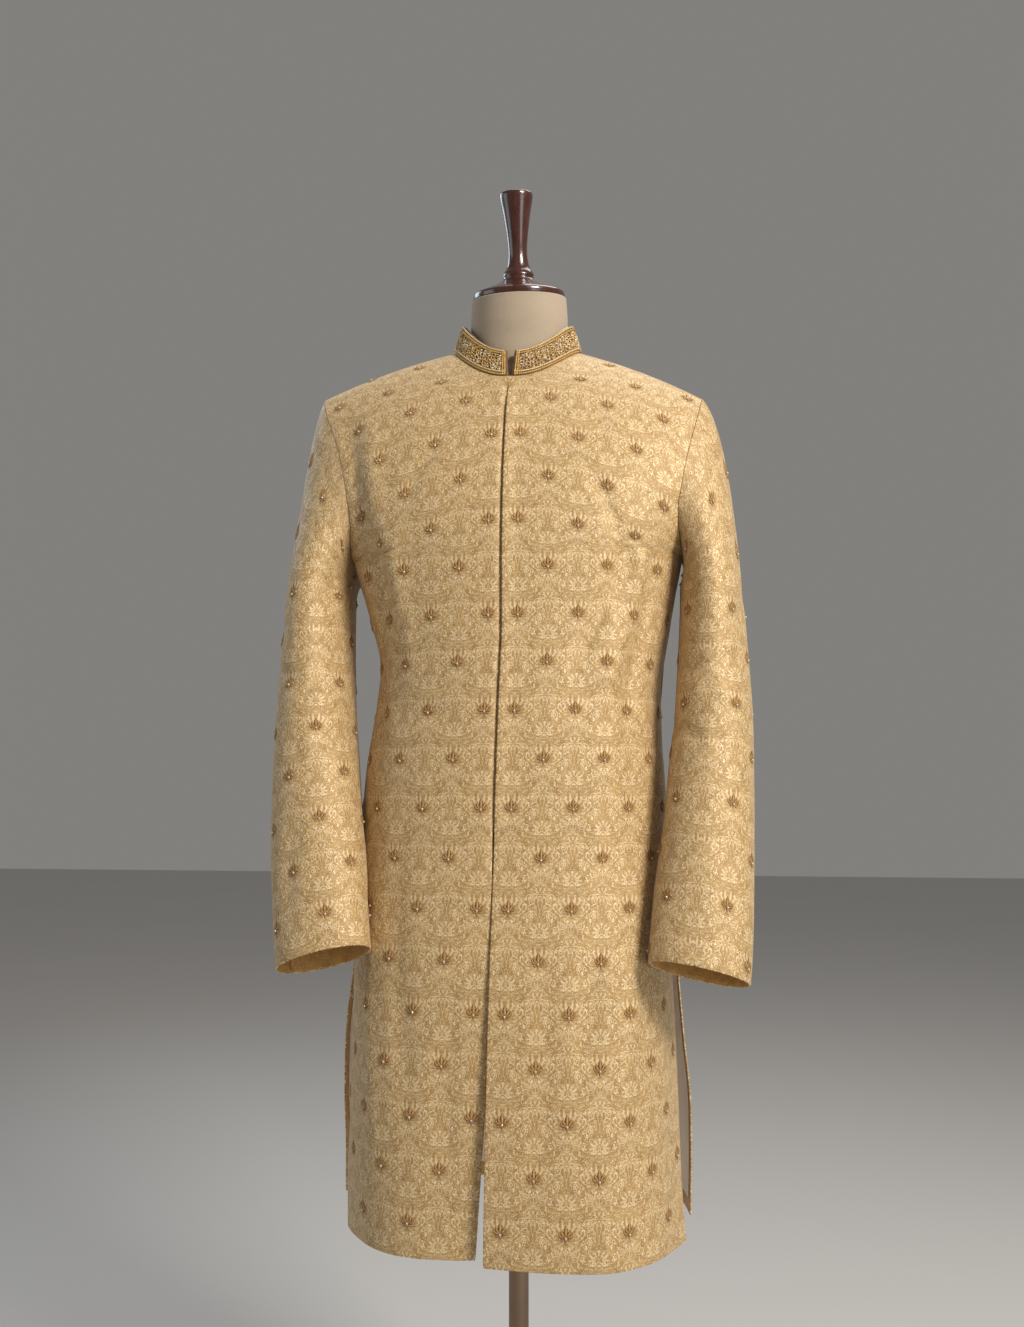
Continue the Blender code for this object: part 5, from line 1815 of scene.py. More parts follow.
@dataclass(frozen=True)
class BrocadeFinish:
    """Jacquard brocade: ivory leaf scrolls on a gold ground, in a half drop of the cloth's repeat."""

    name: str = "brocade"
    ground: Triple = (0.45, 0.278, 0.098)
    ground_deep: Triple = (0.355, 0.205, 0.064)
    line: Triple = (0.88, 0.71, 0.45)
    repeat: float = 66.8
    drop: float = 106.6
    blur: float = 0.5
    line_half: float = 0.42
    motif_share: float = 0.62
    curl_share: float = 0.92
    curl_scale: float = 0.165
    curl: float = 1.1
    curl_levels: float = 5.5
    curl_start: float = 7.37
    curl_half: Pair = (0.115, 0.15)
    scrolls: tuple[tuple[Pair, float, Pair], ...] = (
        ((12.0, 4.4), 6.6, (0.8, 0.6)), ((9.6, -13.0), 5.0, (-0.5, -0.86)),
        ((24.8, -5.0), 5.6, (-0.6, 0.8)), ((22.6, 12.4), 5.2, (0.7, 0.7)),
    )
    crown: tuple[Pair, float, float, float] = ((0.0, -1.0), 13.0, 4.0, 17.0)
    crown_from: Pair = (6.0, 4.0)
    tufts: tuple[tuple[Pair, float, float, float], ...] = (
        ((33.4, -22.0), 7.0, 3.6, 13.0), ((33.4, 17.0), 5.0, 2.6, 9.0),
    )
    stem: Pair = (17.0, 7.0)

    def ring(self, x: Value, y: Value, centre: Pair, radius: float, half: float) -> Value:
        """A thin ring."""
        across = (self.reach(x, y, centre) - radius).size()
        return across.below(half, self.blur)

    @staticmethod
    def reach(x: Value, y: Value, centre: Pair) -> Value:
        """Distance from a centre."""
        dx = x - centre[0]
        dy = y - centre[1]
        return (dx * dx + dy * dy).math("SQRT")

    def scroll(
        self, x: Value, y: Value, centre: Pair, radius: float, lean: Pair,
    ) -> Value:
        """A C scroll: an open ring with a small curl inside it.

        Args:
            x: Place across the repeat.
            y: Place up the repeat.
            centre: The scroll's middle.
            radius: Its radius.
            lean: The direction of its closed side.

        Returns:
            The mask.
        """
        inner = (centre[0] + lean[0] * radius * 0.25, centre[1] + lean[1] * radius * 0.25)
        edge_at = centre[0] * lean[0] + centre[1] * lean[1] - radius * 0.5
        edge = (x * lean[0] + y * lean[1]).above(edge_at, 1.0)
        outer = self.ring(x, y, centre, radius, self.line_half) * edge
        return outer.either(self.ring(x, y, inner, radius * 0.42, self.line_half))

    def tuft(
        self, x: Value, y: Value, centre: Pair, middle: float, half: float, rays: float,
    ) -> Value:
        """A ring of fine rays round a centre, like the barbs of a feather.

        Args:
            x: Place across, in millimetres.
            y: Place up, in millimetres.
            centre: The rays' centre.
            middle: Radius of the ring's middle.
            half: Half the ring's width.
            rays: Number of rays.

        Returns:
            The strength, 1 on a ray.
        """
        angle = (x - centre[0]).math("ARCTAN2", y - centre[1])
        length = self.reach(x, y, centre)
        barbs = (angle * rays + length * 0.25).sine().above(0.35, 1.0)
        return barbs * (length - middle).size().below(half, 2.0)

    def filigree(self, paint: Paint, u: Value, v: Value) -> Value:
        """Fine leafy curls all over, the same in every repeat and alike on both sides of its axis.

        Args:
            paint: The material's nodes.
            u: Place round the body, in millimetres.
            v: Place up the cloth, in millimetres.

        Returns:
            The mask.
        """
        x = u.folded(self.repeat).size()
        turn = v * (tau / self.drop)
        up = self.drop * self.curl_scale / (tau)
        rise = turn.math("COSINE") * up
        fall = turn.sine() * up
        start = self.curl_start
        near_x = x * self.curl_scale + start
        near = paint.noise(1.0, 1.0, paint.vector(near_x, rise + start, fall + start), None, self.curl)
        far_x = (self.repeat / 2 - x) * self.curl_scale + start
        far = paint.noise(1.0, 1.0, paint.vector(far_x, start - rise, start - fall), None, self.curl)
        share = (x * (tau / self.repeat)).math("COSINE") * 0.9 + 0.5
        share = share.math("MINIMUM", 1.0).math("MAXIMUM", 0.0)
        field_value = far + (near - far) * share
        return (field_value * self.curl_levels).folded(1.0).size().below(*self.curl_half)

    def pattern(self, u: Value, v: Value) -> Value:
        """The woven motifs round each spray, 1 on a line.

        Args:
            u: Place across, in millimetres.
            v: Place up, in millimetres.

        Returns:
            The pattern's strength.
        """
        row = (v * (2.0 / self.drop)).math("ROUND")
        odd = row.math("MODULO", 2.0).size()
        x = (u - odd * (self.repeat / 2)).folded(self.repeat).size()
        y = v - row * (self.drop / 2)
        mask = x.below(self.line_half, self.blur) * (y + self.stem[0]).size().below(self.stem[1], 1.0)
        mask = mask.either(self.tuft(x, y, *self.crown) * y.above(*self.crown_from))
        for scroll in self.scrolls:
            mask = mask.either(self.scroll(x, y, *scroll))
        for tuft in self.tufts:
            mask = mask.either(self.tuft(x, y, *tuft))
        return mask

    def paint(self) -> Material:
        """Makes the material.

        Returns:
            The material.
        """
        paint = Paint(self.name, {
            "Roughness": 0.5, "Metallic": 0.12, "Sheen Weight": 0.25, "Sheen Roughness": 0.45,
            "Sheen Tint": (1.0, 0.9, 0.72, 1.0),
        })
        u, v = paint.places("cloth")
        mask = self.pattern(u, v) * self.motif_share
        flat = paint.vector(u, v)
        threads = paint.noise(1.0, 2.0, flat, (0.55, 2.6, 1.0))
        mottle = paint.noise(0.075, 3.0, flat)
        ground = paint.mix(mottle.above(0.5, 0.3), self.ground_deep, self.ground)
        lines = mask.either(self.filigree(paint, u, v) * self.curl_share) * (0.62 + 0.5 * threads)
        colour = paint.mix(lines, ground, self.line)
        paint.dress("Base Color", colour)
        paint.dress("Roughness", 0.56 - 0.14 * lines)
        paint.bump(lines * 0.7 + threads * 0.45, 0.00035, 0.8)
        return paint.material


@dataclass(frozen=True)
class ClothFinish:
    """A plain woven cloth: satin lining, wrong side of brocade, or the form's cover."""

    name: str
    colour: Triple
    second: Triple
    roughness: float = 0.6
    sheen: float = 0.2
    thread: float = 0.6
    slub: float = 3.0
    depth: float = 0.0003
    layer: str | None = "cloth"

    def paint(self) -> Material:
        """Makes the material.

        Returns:
            The material.
        """
        paint = Paint(self.name, {"Sheen Weight": self.sheen, "Sheen Roughness": 0.4})
        u, v = paint.places(self.layer)
        flat = paint.vector(u, v)
        weft = paint.noise(self.thread, 2.0, flat, (1.0 / self.slub, 2.2, 1.0))
        warp = paint.noise(self.thread, 2.0, flat, (2.2, 1.0 / self.slub, 1.0))
        cloudy = paint.noise(0.03, 2.0, flat)
        share = (weft * 0.5 + warp * 0.25 + cloudy * 0.35).above(0.55, 0.6)
        paint.dress("Base Color", paint.mix(share, self.colour, self.second))
        paint.dress("Roughness", self.roughness + 0.12 * (weft - 0.5))
        paint.bump(weft * 0.6 + warp * 0.4, self.depth, 0.7)
        return paint.material


@dataclass(frozen=True)
class ThreadFinish:
    """Metallic embroidery thread in stitched rows, with painted shade darkening it towards the edges of a
    raised leaf and between a cord's twists, and lighter along its middle.
    """

    name: str
    bright: Triple
    dark: Triple
    metallic: float = 0.55
    roughness: float = 0.38
    pitch: float = 0.55
    # Strength of the painted shade towards the thread's edges.
    edge: float = 0.55
    dark_share: float = 0.62

    def paint(self) -> Material:
        """Makes the material.

        Returns:
            The material.
        """
        paint = Paint(self.name, {"Metallic": self.metallic, "Roughness": self.roughness})
        s, t = paint.places("thread", 1.0)
        t = t.size()
        stitch = ((s + t * 0.8) * (tau / self.pitch)).sine() * 0.5 + 0.5
        uneven = paint.noise(900.0, 1.0)
        # The (0.9 - t * t) term is painted shade: darker where the raised thread curves down at its edges,
        # lighter along its middle. The stitch rows and the uneven tone are the thread's own.
        share = (stitch * 0.35 + uneven * 0.5 + (0.9 - t * t) * self.edge).above(self.dark_share, 0.6)
        paint.dress("Base Color", paint.mix(share, self.dark, self.bright))
        paint.dress("Roughness", self.roughness + 0.2 * (1.0 - stitch))
        paint.bump(stitch * 0.7 + uneven * 0.3, 0.00025, 0.8)
        return paint.material


@dataclass(frozen=True)
class SmoothFinish:
    """A plain smooth surface, faintly clouded: pearls and the floor."""

    name: str
    colour: Triple
    darker: float = 0.8
    waves: float = 300.0
    detail: float = 1.0
    roughness: float = 0.16
    coat: float = 0.6

    def paint(self) -> Material:
        """Makes the material.

        Returns:
            The material.
        """
        paint = Paint(self.name, {
            "Roughness": self.roughness, "Coat Weight": self.coat, "Coat Roughness": 0.08})
        second = tuple(self.darker * c for c in self.colour)
        paint.dress("Base Color", paint.mix(paint.noise(self.waves, self.detail), self.colour, second))
        return paint.material


@dataclass(frozen=True)
class WoodFinish:
    """Dark polished wood, its grain along the turned piece."""

    name: str = "cap_wood"
    dark: Triple = (0.02, 0.005, 0.003)
    warm: Triple = (0.085, 0.022, 0.012)

    def paint(self) -> Material:
        """Makes the material.

        Returns:
            The material.
        """
        paint = Paint(self.name, {"Coat Roughness": 0.06, "Coat Weight": 0.7})
        grain = paint.noise(26.0, 4.0, None, (6.0, 6.0, 1.0))
        pores = paint.noise(160.0, 2.0, None, (8.0, 8.0, 1.0))
        share = (grain * 0.8 + pores * 0.3).above(0.55, 0.5)
        paint.dress("Base Color", paint.mix(share, self.dark, self.warm))
        paint.dress("Roughness", 0.2 + 0.14 * pores)
        paint.bump(pores, 0.00008, 0.5)
        return paint.material


@dataclass(frozen=True)
class MetalFinish:
    """A turned metal with fine brushing round it."""

    name: str
    colour: Triple
    second: Triple
    metallic: float = 1.0
    roughness: float = 0.32
    brushing: Triple = (4.0, 4.0, 900.0)

    def paint(self) -> Material:
        """Makes the material.

        Returns:
            The material.
        """
        paint = Paint(self.name, {"Metallic": self.metallic})
        brushed = paint.noise(2.0, 3.0, None, self.brushing)
        worn = paint.noise(14.0, 3.0)
        paint.dress("Base Color", paint.mix(worn.above(0.55, 0.4), self.colour, self.second))
        paint.dress("Roughness", self.roughness + 0.16 * (brushed - 0.5) + 0.08 * worn)
        paint.bump(brushed, 0.00006, 0.5)
        return paint.material


@dataclass
class CollarEmbroidery:
    """Twisted gold cords along the collar's edges, looped cords and beads between them."""

    cloth: Cloth
    chart: ClothChart
    height: float = 0.036
    rope: float = 0.00125
    rope_lines: Row = (0.0019, 0.0052, 0.0308, 0.0341)
    loop_rows: Row = (0.0092, 0.0136, 0.018, 0.0224, 0.0268)
    loop_radius: float = 0.0028
    loop_pitch: float = 0.0043
    loop_cord: float = 0.00062
    bead: float = 0.00105
    end_rows: Row = (0.002, 0.0045)
    step: float = 0.00075
    sides: int = 6
    twist: float = 0.0026
    twist_depth: float = 0.22
    sink: float = 0.55
    margins: Triple = (0.0012, 0.0018, 0.0016)
    clear: float = 0.0038
    rope_clear: float = 0.001
    loop_points: int = 18
    loop_shift: float = 0.0011
    loop_sizes: Pair = (0.6, 1.1)
    loop_rise: Pair = (0.8, 1.3)
    loop_place: Pair = (3.4, 0.3)
    pale_share: float = 0.4
    bead_shift: float = 0.0016
    bead_sizes: Pair = (0.75, 1.1)
    bead_spread: float = 1.7

    def twisted(self, parts: MeshParts, u: Array, v: Array, radius: float, slot: int) -> None:
        """Lays a twisted cord on the collar.

        Args:
            parts: The mesh to add to.
            u: The cord's places along the collar.
            v: The cord's places up the collar.
            radius: The cord's radius.
            slot: Its finish.
        """
        points = self.chart.place(u, v, radius * self.sink)
        points = points[~np.isnan(points).any(axis=1)]
        if len(points) < 4:
            return
        length = path_length(points)
        grid = tube(points, np.full(len(points), radius), self.sides)
        middle = points[:, None]
        turn = np.linspace(0.0, tau, self.sides, endpoint=False)[None, :]
        twist = 1.0 + self.twist_depth * np.sin(tau * length[:, None] / self.twist - turn)
        grid = middle + (grid - middle) * twist[..., None]
        wave = np.abs(np.sin(pi * length / self.twist))
        # This second place is low on each twist's crest and high between twists, so the thread finish paints
        # shade between the twists.
        places = pairs_of(length[:, None] * 1000.0, 1.0 - wave[:, None] + 0.0 * turn)
        parts.add_grid(grid, places, slot, wrap=True)

    def sew(self, materials: Sequence[Material]) -> Piece:
        """Makes all of the collar's embroidery as one object.

        Args:
            materials: The gold thread, the pale thread and the beads.

        Returns:
            The object.
        """
        parts = MeshParts()
        length = float(self.cloth.u[0, -1])
        end, bottom, top = self.margins
        u = np.arange(end, length - end, self.step)
        for k, height in enumerate(self.rope_lines):
            self.twisted(parts, u, np.full(len(u), height), self.rope, k % 2)
        for row in self.end_rows:
            v = np.arange(bottom, self.height - top, self.step)
            for place in (row, length - row):
                self.twisted(parts, np.full(len(v), place), v, self.rope, 0)
        start = self.end_rows[-1] + self.clear
        self.loops(parts, start, length - start)
        self.scatter(parts, start, length - start)
        return parts.build("collar_embroidery", materials)

    def loops(self, parts: MeshParts, start: float, end: float) -> None:
        """Rows of uneven looped cord, one loop over the next.

        Args:
            parts: The mesh to add to.
            start: Where the rows begin on the band.
            end: Where they end.
        """
        turn = np.linspace(0.0, tau, self.loop_points)
        chance = np.random.default_rng(SEED)
        for height in self.loop_rows:
            for middle in np.arange(start, end, self.loop_pitch):
                shift = chance.uniform(-self.loop_shift, self.loop_shift, 2)
                radius = self.loop_radius * chance.uniform(*self.loop_sizes, 2)
                phase = chance.uniform(0.0, 6.28)
                u = middle + shift[0] + radius[0] * np.cos(turn + phase)
                v = height + shift[1] + radius[1] * np.sin(turn + phase)
                crossing = np.clip(np.sin(turn * 2.0 + phase), 0.0, 1.0)
                rise = self.loop_cord * (self.loop_rise[0] + self.loop_rise[1] * crossing)
                points = self.chart.place(u, v, rise)
                too_high = v.max() > self.rope_lines[2] - self.rope_clear
                if np.isnan(points).any() or too_high or v.min() < self.rope_lines[1] + self.rope_clear:
                    continue
                grid = tube(points, np.full(len(turn), self.loop_cord), 4)
                places = pairs_of(turn[:, None] * self.loop_place[0], np.full((1, 4), self.loop_place[1]))
                parts.add_grid(grid, places, 1 if chance.random() < self.pale_share else 0, wrap=True)

    def scatter(self, parts: MeshParts, start: float, end: float) -> None:
        """Beads strewn over the loops and in a line under the upper cord.

        Args:
            parts: The mesh to add to.
            start: Where the beads begin on the band.
            end: Where they end.
        """
        chance = np.random.default_rng(SEED + 1)
        beads = LeafSpray()
        for height in self.loop_rows:
            for middle in np.arange(start, end, self.loop_pitch * self.bead_spread):
                shift = chance.uniform(-self.bead_shift, self.bead_shift, 2)
                radius = self.bead * chance.uniform(*self.bead_sizes)
                beads.bead(parts, self.chart, float(middle + shift[0]), float(height + shift[1]), radius, 2)


@dataclass
class TurnedPiece:
    """A piece turned on a lathe, from radius and height pairs."""

    name: str
    profile: tuple[Pair, ...]
    steps: int = 96
    fine: int = 7

    def smooth_profile(self) -> Array:
        """The profile with a smooth curve through its points.

        Returns:
            The radius and height of each point.
        """
        points = np.array(self.profile)
        ends = np.vstack([2 * points[0] - points[1], points, 2 * points[-1] - points[-2]])
        result = []
        for i in range(1, len(ends) - 2):
            a, b, c, d = ends[i - 1:i + 3]
            gaps = [max(float(np.linalg.norm(q - p)) ** 0.5, 1e-6) for p, q in ((a, b), (b, c), (c, d))]
            m1 = gaps[1] * ((b - a) / gaps[0] - (c - a) / (gaps[0] + gaps[1]) + (c - b) / gaps[1])
            m2 = gaps[1] * ((c - b) / gaps[1] - (d - b) / (gaps[1] + gaps[2]) + (d - c) / gaps[2])
            result += [hermite(k / self.fine, b, m1, c, m2) for k in range(self.fine)]
        result.append(points[-1])
        smooth = np.array(result)
        smooth[:, 0] = np.maximum(smooth[:, 0], 0.0)
        smooth[:, 1] = np.clip(smooth[:, 1], points[:, 1].min(), points[:, 1].max())
        return smooth

    def build(self, place: Matrix, material: Material) -> Piece:
        """Turns the profile into a closed mesh at a place.

        Args:
            place: Where its foot stands and how it leans.
            material: Its finish.

        Returns:
            The object.
        """
        work = bmesh.new()
        rings = []
        for radius, height in self.smooth_profile():
            if radius < 1e-5:
                rings.append([work.verts.new((0.0, 0.0, height))])
                continue
            turns = [tau * k / self.steps for k in range(self.steps)]
            rings.append([work.verts.new((radius * cos(t), radius * sin(t), height)) for t in turns])
        for low, high in zip(rings, rings[1:]):
            for k in range(self.steps):
                n = (k + 1) % self.steps
                corners = [low[k % len(low)], low[n % len(low)], high[n % len(high)], high[k % len(high)]]
                unique = list(dict.fromkeys(corners))
                if len(unique) > 2:
                    work.faces.new(unique)
        for face in work.faces:
            face.smooth = True
        if work.calc_volume(signed=True) < 0.0:
            bmesh.ops.reverse_faces(work, faces=work.faces[:])
        work.transform(place)
        mesh = bpy.data.meshes.new(self.name)
        work.to_mesh(mesh)
        work.free()
        return link(self.name, mesh, [material])


@dataclass
class FormNeck:
    """The form's cloth-covered neck, its top plane leaning forward."""

    centre_x: float = 0.0022
    tilt: float = radians(12.5)
    top_z: float = 1.5343
    top_y: float = -0.008
    skin: float = 0.0006
    rounding: float = 0.0014
    steps: int = 96
    cloth_z: Pair = (1.405, 1.5325)
    rows: int = 44
    edge_z: float = 1.534
    edge_rows: int = 5
    lid_rows: int = 4
    lid_step: float = 0.012
    lean_from: Pair = (1.42, 0.1)
    mean_radius: float = 0.058
    rings: Table = field(default_factory=lambda: Table(("z", "half_x", "half_y", "centre_y"), (
        (1.36, 0.048, 0.045, -0.002), (1.4, 0.057, 0.049, -0.002), (1.44, 0.059, 0.05, -0.003),
        (1.475, 0.0595, 0.0505, -0.004), (1.505, 0.0592, 0.0545, -0.006), (1.534, 0.0578, 0.057, -0.008),
    )))

    def build(self, material: Material) -> Piece:
        """Makes the neck as a closed tube with a rounded top edge.

        Args:
            material: The neck's finish.

        Returns:
            The neck.
        """
        turn = np.linspace(0.0, tau, self.steps, endpoint=False)
        rows = [self.ring(z, z, self.skin, turn) for z in np.linspace(*self.cloth_z, self.rows)]
        top = self.cloth_z[1]
        for k in range(1, self.edge_rows + 1):
            angle = pi / 2 * k / self.edge_rows
            inset = self.skin - self.rounding * (1.0 - cos(angle))
            rows.append(self.ring(self.edge_z, top + self.rounding * sin(angle), inset, turn))
        for k in range(1, self.lid_rows + 1):
            inset = -self.rounding - self.lid_step * k
            rows.append(self.ring(self.edge_z, top + self.rounding, inset, turn))
        grid = np.array(rows)
        parts = MeshParts()
        around = turn * self.mean_radius
        places = pairs_of(around[None, :], grid[:, :, 2])
        parts.add_grid(grid, places, 0, wrap=True)
        return parts.build("form_neck", [material])

    def ring(self, z: float, height: float, grow: float, turn: Array) -> Array:
        """One ring of the neck.

        Args:
            z: Height at which the neck's sizes are read.
            height: Height of the ring.
            grow: How far it stands outside those sizes.
            turn: Angles round the ring.

        Returns:
            The ring's points.
        """
        tilt = float(ease((z - self.lean_from[0]) / self.lean_from[1])) * tan(self.tilt)
        half_x = float(self.rings.read("half_x", z)) + grow
        half_y = float(self.rings.read("half_y", z)) + grow
        y = half_y * np.sin(turn)
        x = self.centre_x + half_x * np.cos(turn)
        return np.stack([x, float(self.rings.read("centre_y", z)) + y, height + y * tilt], axis=1)


CAP_PROFILE = (
    (0.0, 0.0), (0.055, 0.0), (0.0563, 0.0007), (0.0565, 0.002), (0.0565, 0.005), (0.056, 0.0066),
    (0.0548, 0.0078), (0.046, 0.0115), (0.029, 0.018), (0.0205, 0.0228), (0.019, 0.0246),
    (0.0188, 0.0262), (0.0192, 0.029), (0.018, 0.0325), (0.015, 0.037), (0.0128, 0.045),
    (0.0117, 0.056), (0.0124, 0.07), (0.0146, 0.088), (0.0178, 0.108), (0.02, 0.119),
    (0.0204, 0.1225), (0.0203, 0.125), (0.0196, 0.127), (0.017, 0.1281), (0.01, 0.1289), (0.0, 0.1292),
)
BASE_PROFILE = (
    (0.0, 0.0), (0.1675, 0.0), (0.17, 0.0008), (0.171, 0.0025), (0.171, 0.009), (0.17, 0.0112),
    (0.167, 0.013), (0.12, 0.0155), (0.05, 0.0175), (0.026, 0.021), (0.019, 0.027),
    (0.0172, 0.0335), (0.0164, 0.0352), (0.0145, 0.036), (0.0, 0.036),
)
POLE_PROFILE = (
    (0.0, 0.0363), (0.0085, 0.0363), (0.0088, 0.0368), (0.0088, 0.839), (0.0085, 0.8396), (0.0, 0.8397),
)


@dataclass
class Studio:
    """Floor, light and camera."""

    camera_place: Triple = (0.1927, -1.4271, 0.9314)
    camera_turn_degrees: Triple = (96.0, 0.0, 8.0)
    lens: float = 32.55
    sensor: float = 36.0
    floor: SmoothFinish = SmoothFinish("pale_floor", (0.62, 0.61, 0.6), 0.95, 1.2, 3.0, 0.75, 0.0)
    floor_size: float = 24.0
    floor_squares: int = 24
    surround: tuple[float, float, float, float] = (0.9, 0.87, 0.83, 1.0)
    surround_strength: float = 0.25
    lights: tuple[tuple[str, Triple, Triple, float, float, Triple], ...] = (
        ("key_light", (1.85, -1.75, 2.45), (0.0, 0.0, 1.12), 0.75, 88.0, (1.0, 0.95, 0.87)),
        ("fill_light", (-2.6, -0.8, 1.7), (0.0, 0.0, 1.1), 1.4, 9.5, (0.8, 0.9, 1.0)),
        ("edge_light", (-2.0, 1.2, 2.5), (0.0, 0.0, 1.2), 1.0, 12.0, (0.8, 0.9, 1.0)),
        ("side_light", (2.0, -1.7, 0.95), (0.24, 0.0, 0.92), 1.0, 9.0, (0.93, 0.96, 1.0)),
        ("top_light", (0.5, 0.6, 3.4), (0.0, 0.0, 1.0), 1.6, 26.0, (1.0, 0.96, 0.9)),
    )

    def build(self) -> None:
        """Makes the floor, the lights and the camera."""
        work = bmesh.new()
        squares = self.floor_squares
        bmesh.ops.create_grid(work, x_segments=squares, y_segments=squares, size=self.floor_size / 2)
        mesh = bpy.data.meshes.new("floor")
        work.to_mesh(mesh)
        work.free()
        link("floor", mesh, [self.floor.paint()])
        self.world()
        for light in self.lights:
            self.area(*light)
        data = bpy.data.cameras.new("camera")
        data.lens = self.lens
        data.sensor_width = self.sensor
        data.sensor_fit = "AUTO"
        camera = bpy.data.objects.new("camera", data)
        camera.location = self.camera_place
        camera.rotation_euler = [radians(value) for value in self.camera_turn_degrees]
        bpy.context.scene.collection.objects.link(camera)
        bpy.context.scene.camera = camera
        bpy.context.scene.view_settings.view_transform = "Standard"

    def world(self) -> None:
        """A plain pale surround."""
        world = bpy.data.worlds.new("studio")
        world.use_nodes = True
        background = world.node_tree.nodes["Background"]
        background.inputs["Color"].default_value = self.surround
        background.inputs["Strength"].default_value = self.surround_strength
        bpy.context.scene.world = world

    @staticmethod
    def area(name: str, place: Triple, target: Triple, size: float, watts: float, colour: Triple) -> None:
        """Adds a soft square light.

        Args:
            name: Its name.
            place: Where it stands.
            target: What it points at.
            size: Its side.
            watts: Its power.
            colour: Its colour.
        """
        data = bpy.data.lights.new(name, "AREA")
        data.energy = watts
        data.size = size
        data.color = colour
        light = bpy.data.objects.new(name, data)
        light.location = place
        light.rotation_euler = (Vector(target) - Vector(place)).to_track_quat("-Z", "Y").to_euler()
        bpy.context.scene.collection.objects.link(light)


def settle(piece: Piece) -> None:
    """Sets a piece on the one body."""
    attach(piece, ROOT)


@dataclass
class Dressing:
    """Builds every piece and sets it on its body."""

    lattices: dict[str, RepeatLattice]
    finishes: dict[str, Material]
    spray: LeafSpray

    def hang(self, cloth: Cloth, materials: Sequence[str]) -> Piece:
        """Args:
            cloth: The cloth.
            materials: Names of its outer and inner finish.

        Returns:
            The object.
        """
        lattice = self.lattices.get(cloth.name, RepeatLattice(u0=0.0, v0=0.0))
        worn = replace(cloth, u=cloth.u - lattice.u0, v=cloth.v - lattice.v0)
        made = worn.build([self.finishes[name] for name in materials])
        made.name = cloth.name + "_cloth"
        settle(made)
        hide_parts(cloth.name)
        width, length, area = cloth.flat_size()
        LOG.info("%s: %d faces, %.3f square metres", made.name, len(made.data.polygons), area)
        return made

    def embroider(self, cloth: Cloth) -> Piece:
        """Sews the leaf sprays of one cloth.

        Args:
            cloth: The cloth to sew on.

        Returns:
            The sprays as one piece.
        """
        chart = cloth.chart()
        lattice = self.lattices[cloth.name]
        parts = MeshParts()
        sewn = 0
        reach = [(float(grid.min()), float(grid.max())) for grid in (cloth.u, cloth.v)]
        for u, v in lattice.places(*reach):
            sewn += self.spray.sew(parts, chart, u, v)
        materials = [self.finishes["leaf_thread"], self.finishes["pearl_beads"]]
        made = parts.build(cloth.name + "_sprays", materials)
        settle(made)
        LOG.info("%s: %d sprays, %d faces", made.name, sewn, len(made.data.polygons))
        return made


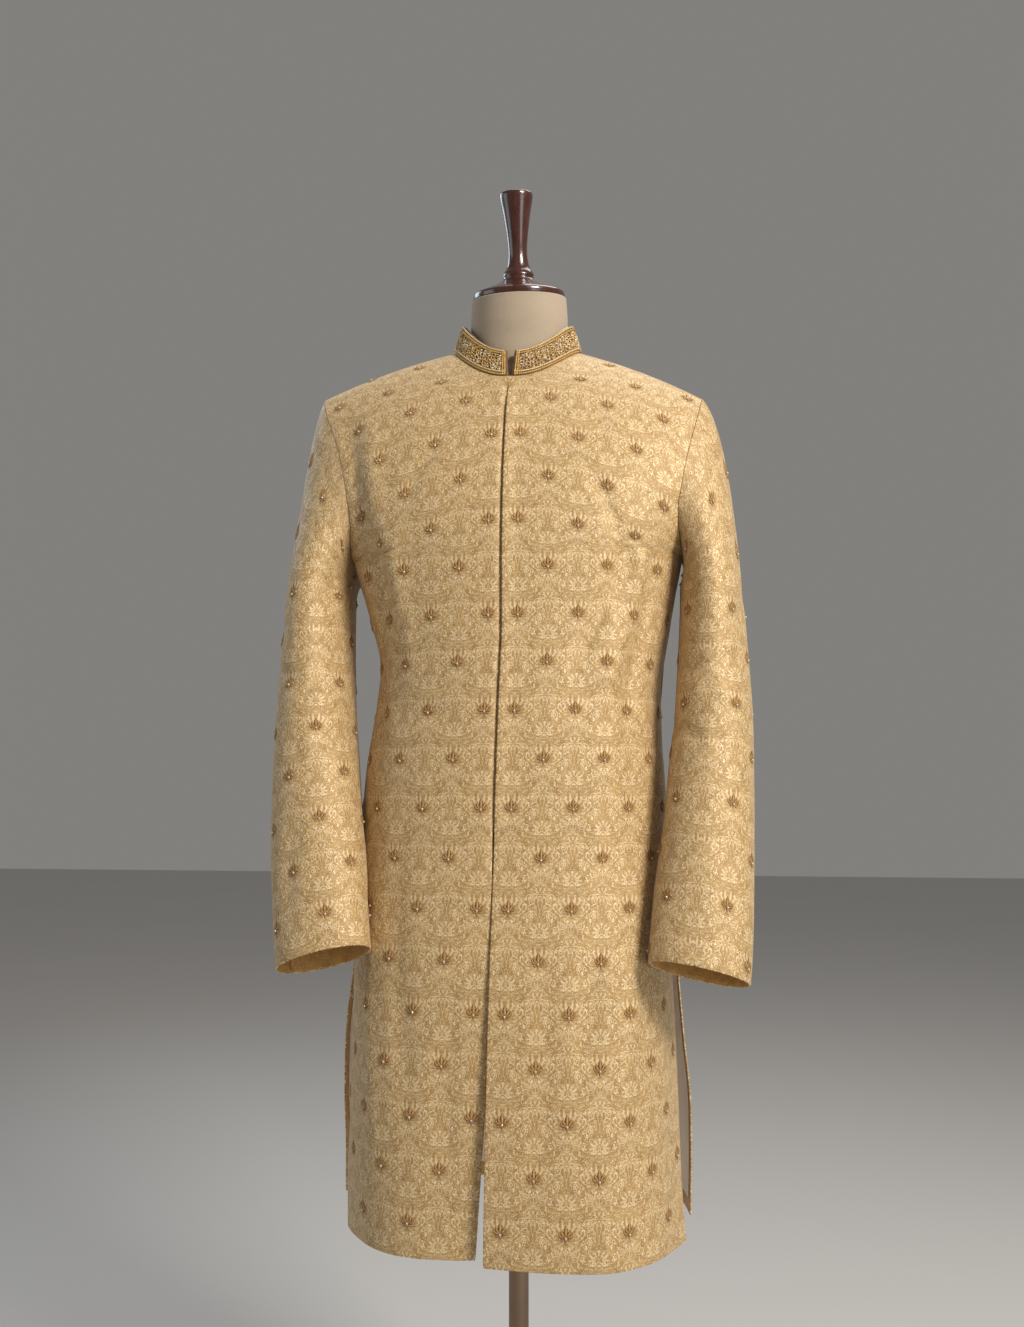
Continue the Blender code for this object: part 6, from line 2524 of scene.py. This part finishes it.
def main() -> None:
    """Builds every piece in order and reports it."""
    logging.basicConfig(level=logging.INFO, format="%(message)s")
    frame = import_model()
    shape = CoatShape()
    panels = CoatPanels(shape)
    finishes = {finish.name: finish.paint() for finish in (
        BrocadeFinish(),
        BrocadeFinish("brocade_reverse", (0.6, 0.33, 0.09), (0.47, 0.24, 0.06), (0.72, 0.46, 0.17)),
        ClothFinish("satin", (0.88, 0.77, 0.64), (0.95, 0.86, 0.74), roughness=0.32, sheen=0.1),
        ClothFinish(
            "form_cloth", (0.42, 0.34, 0.25), (0.34, 0.265, 0.185), roughness=0.85, slub=5.0, layer=None),
        # The collar's dark ground, also used on the placket, whose dark brown stands in for the shade in the
        # closing gap: painted shade.
        ClothFinish("gold_ground", (0.2, 0.105, 0.035), (0.085, 0.04, 0.014), roughness=0.55, depth=0.0005),
        # edge=1.0 gives the leaves strong painted shade at their edges.
        ThreadFinish("leaf_thread", (0.5, 0.285, 0.105), (0.042, 0.019, 0.007), edge=1.0, dark_share=0.86),
        ThreadFinish("gold_cord", (0.64, 0.4, 0.13), (0.12, 0.055, 0.016)),
        ThreadFinish("pale_cord", (0.76, 0.56, 0.29), (0.24, 0.14, 0.06), metallic=0.4),
        SmoothFinish("collar_pearls", (0.86, 0.8, 0.71)),
        SmoothFinish("pearl_beads", (0.6, 0.52, 0.42)),
        WoodFinish(),
        MetalFinish("pole_steel", (0.27, 0.19, 0.13), (0.19, 0.13, 0.09)),
        MetalFinish("base_metal", (0.045, 0.045, 0.048), (0.07, 0.068, 0.065), metallic=0.6, roughness=0.42),
    )}
    lattices = {panels.name(side, face): RepeatLattice() for side in Side for face in Face}
    for piece in ("sleeve_top_", "sleeve_under_"):
        lattices[piece + "left"] = RepeatLattice(u0=-0.007, v0=0.012)
        lattices[piece + "right"] = RepeatLattice(u0=-0.017, v0=0.036)
    dressing = Dressing(lattices, finishes, LeafSpray())
    cloths: list[Cloth] = []
    for side in Side:
        for face in Face:
            cloths.append(panels.cut(side, face))
        cloths += CoatSleeves(shape, panels).cut(side)
    for cloth in cloths:
        sprays = dressing.embroider(cloth)
        dressing.hang(cloth, ["brocade", "brocade_reverse"])
        if cloth.name.startswith("back_"):
            dressing.hang(SkirtLining().cut(cloth), ["satin"])
    collar = StandCollar(shape).cut()
    embroidery = CollarEmbroidery(collar, collar.chart()).sew(
        [finishes["gold_cord"], finishes["pale_cord"], finishes["collar_pearls"]])
    settle(embroidery)
    dressing.hang(collar, ["gold_ground", "satin"])
    # The placket takes the dark collar ground so that the closing gap shows dark brown: painted shade in the
    # gap.
    dressing.hang(PlacketStrip(shape, panels).cut(), ["gold_ground"])

    form = frame["nodes"]["dress_form"]
    form.data.materials.clear()
    form.data.materials.append(finishes["form_cloth"])
    weld = form.modifiers.new("weld", "WELD")
    weld.merge_threshold = WELD
    neck = FormNeck().build(finishes["form_cloth"])
    settle(neck)
    lean = Matrix.Translation((FormNeck.centre_x, FormNeck.top_y, FormNeck.top_z + CAP_GAP))
    lean = lean @ Matrix.Rotation(FormNeck.tilt, 4, "X")
    for name, profile, place, slot in (
        ("neck_cap", CAP_PROFILE, lean, "cap_wood"),
        ("pole", POLE_PROFILE, Matrix.Identity(4), "pole_steel"),
        ("base", BASE_PROFILE, Matrix.Identity(4), "base_metal"),
    ):
        piece = TurnedPiece(name + "_turned", profile).build(place, finishes[slot])
        settle(piece)
        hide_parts(name)
    Studio().build()


if __name__ == "__main__":
    main()
